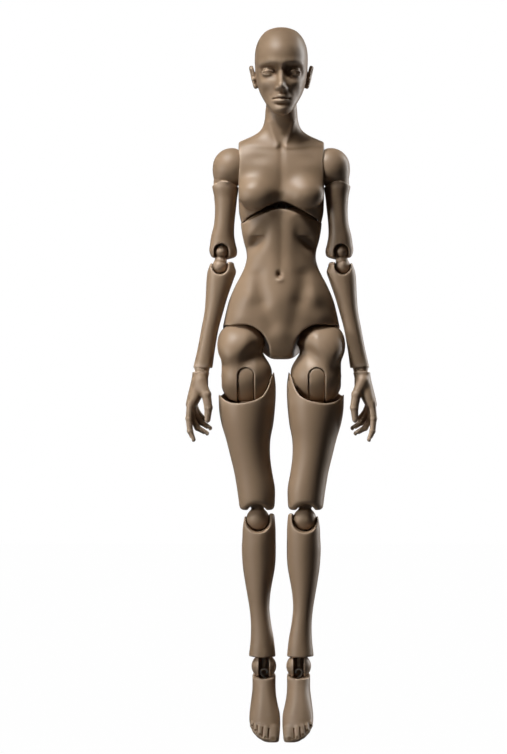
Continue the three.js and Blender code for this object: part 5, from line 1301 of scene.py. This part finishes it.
# %% Neck hook
RING_HEIGHT, RING_RADIUS = NECK[2] - 6, 3
BAR_HEIGHT, BAR_REACH = 555.2, 7
ring = [(RING_RADIUS * math.cos(a), NECK[1], RING_HEIGHT + RING_RADIUS * math.sin(a))
        for a in np.linspace(math.pi / 2, math.pi / 2 + 1.8 * math.pi, 13)]
shank = [above(NECK, h) for h in (BAR_HEIGHT, 550, 543, 537, RING_HEIGHT + 4.4)]
bar = [(x, NECK[1], BAR_HEIGHT) for x in (-BAR_REACH, 0, BAR_REACH)]
for name, path in (("neck_hook_wire", shank + ring), ("neck_hook_bar", bar)):
    bent(name, path, 1.2, wire_steel, "neck_hook", "neck_hook", 6)
print("neck hook hung")

# %% [markdown]
# Two pairs of small disc magnets hold the cap on the head. Each is a short cylinder with a
# broken edge, turned square to the plane in which head and cap part.

# %% Magnets
MAGNET_RADIUS, MAGNET_THICKNESS, MAGNET_EDGE = 0.002, 0.002, 0.00025


def magnet(node, body):
    low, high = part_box(node)
    middle = [(low[k] + high[k]) / 2 for k in range(3)]
    bpy.ops.object.select_all(action="DESELECT")
    bpy.ops.mesh.primitive_cylinder_add(
        vertices=48, radius=MAGNET_RADIUS, depth=MAGNET_THICKNESS, location=middle,
        rotation=(-math.atan2(1, CAP_LEAN), 0, 0))
    piece = bpy.context.object
    piece.name = node + "_disc"
    edge = piece.modifiers.new("broken_edge", "BEVEL")
    edge.width, edge.segments = MAGNET_EDGE, 3
    edge.limit_method, edge.angle_limit = "ANGLE", math.radians(50)
    bpy.ops.object.modifier_apply(modifier="broken_edge")
    bpy.ops.object.transform_apply(location=True, rotation=True, scale=True)
    bpy.ops.object.shade_smooth_by_angle(angle=math.radians(30))
    piece.data.materials.append(nickel)
    dress(piece, body, node)


for side, suffix in BOTH:
    magnet("head_magnet" + suffix, "head")
    magnet("cap_magnet" + suffix, "head_cap")
print("magnets set")

# %% [markdown]
# The arm elastic runs from one wrist hook through both arms and the chest to the other, and
# each leg has its own, which is tied inside the neck and ends at the ankle hook. They are held
# taut all the way, so they are drawn as the lengths inside each casting.

# %% Elastics
def from_wrist(distance):
    return tuple(np.array(WRIST) + WRIST_DIRECTION * distance)


# Name, casting and path of each length on the left
CORE_END, CAP_START = (24, 0, SHOULDER[2]), (40.9, 0, 481.3)
NECK_END, BELLY_END, TONGUE_END = (4.6, 1, 441), (26.4, 1, 349.8), above(THIGH, TONGUE_FOOT)
ARM_LENGTHS = [
    ("core", "shoulder_core", [CORE_END, (31, 0, SHOULDER[2]), (38.5, 0, 482.3), CAP_START]),
    ("cap", "shoulder_cap", [CAP_START, (42.4, 0, 479.8), (44.1, 0, 476.2), along_arm(2)]),
    ("upper", "upper_arm", [along_arm(2), along_arm(20), along_arm(40), ELBOW_UPPER]),
    ("elbow", "elbow_core", [ELBOW_UPPER, (51.1, 0, 405.6), ELBOW_LOWER]),
    ("forearm", "forearm", [ELBOW_LOWER, from_wrist(56), from_wrist(24), from_wrist(-0.9)]),
]
LEG_LENGTHS = [
    ("neck", "chest", [(1.8, 2.5, 526.4), (1.8, 3, 512), (2.2, 4, 500), (4, 5.6, 482.5),
                       (4.4, 4, 462), NECK_END]),
    ("belly", "lower_torso", [NECK_END, (5, 1, 410), (9, 1, 385), (17, 1, 366), BELLY_END]),
    ("hip", "upper_thigh", [BELLY_END, (28.4, 0.6, 332), THIGH]),
    ("tongue", "thigh_core", [THIGH, above(THIGH, 290), TONGUE_END]),
    ("thigh", "lower_thigh", [TONGUE_END, (26.5, 0, 248), (21.6, 0, 220), KNEE_UPPER]),
    ("knee", "knee_core", [KNEE_UPPER, (19.95, 0, 195.5), KNEE_LOWER]),
    ("shin", "shin", [KNEE_LOWER, (18.5, 0, 156.9), (15.6, 1, 93.4), (14.6, 1, 62.4)]),
]
TRUNK = ("chest", "lower_torso")

bent("arm_elastic_chest", [(x, 0, SHOULDER[2]) for x in (-24, -14, 0, 14, 24)], ARM_CORD, braid,
     "chest", "arm_elastic")
for cord, radius, lengths in (("arm_elastic", ARM_CORD, ARM_LENGTHS),
                              ("leg_elastic", LEG_CORD, LEG_LENGTHS)):
    for name, casting, path in lengths:
        for side, suffix in BOTH:
            body = casting if casting in TRUNK else casting + suffix
            node = cord + suffix if cord == "leg_elastic" else cord
            bent(cord + "_" + name + suffix, [(x * side, y, z) for x, y, z in path], radius,
                 braid, body, node)
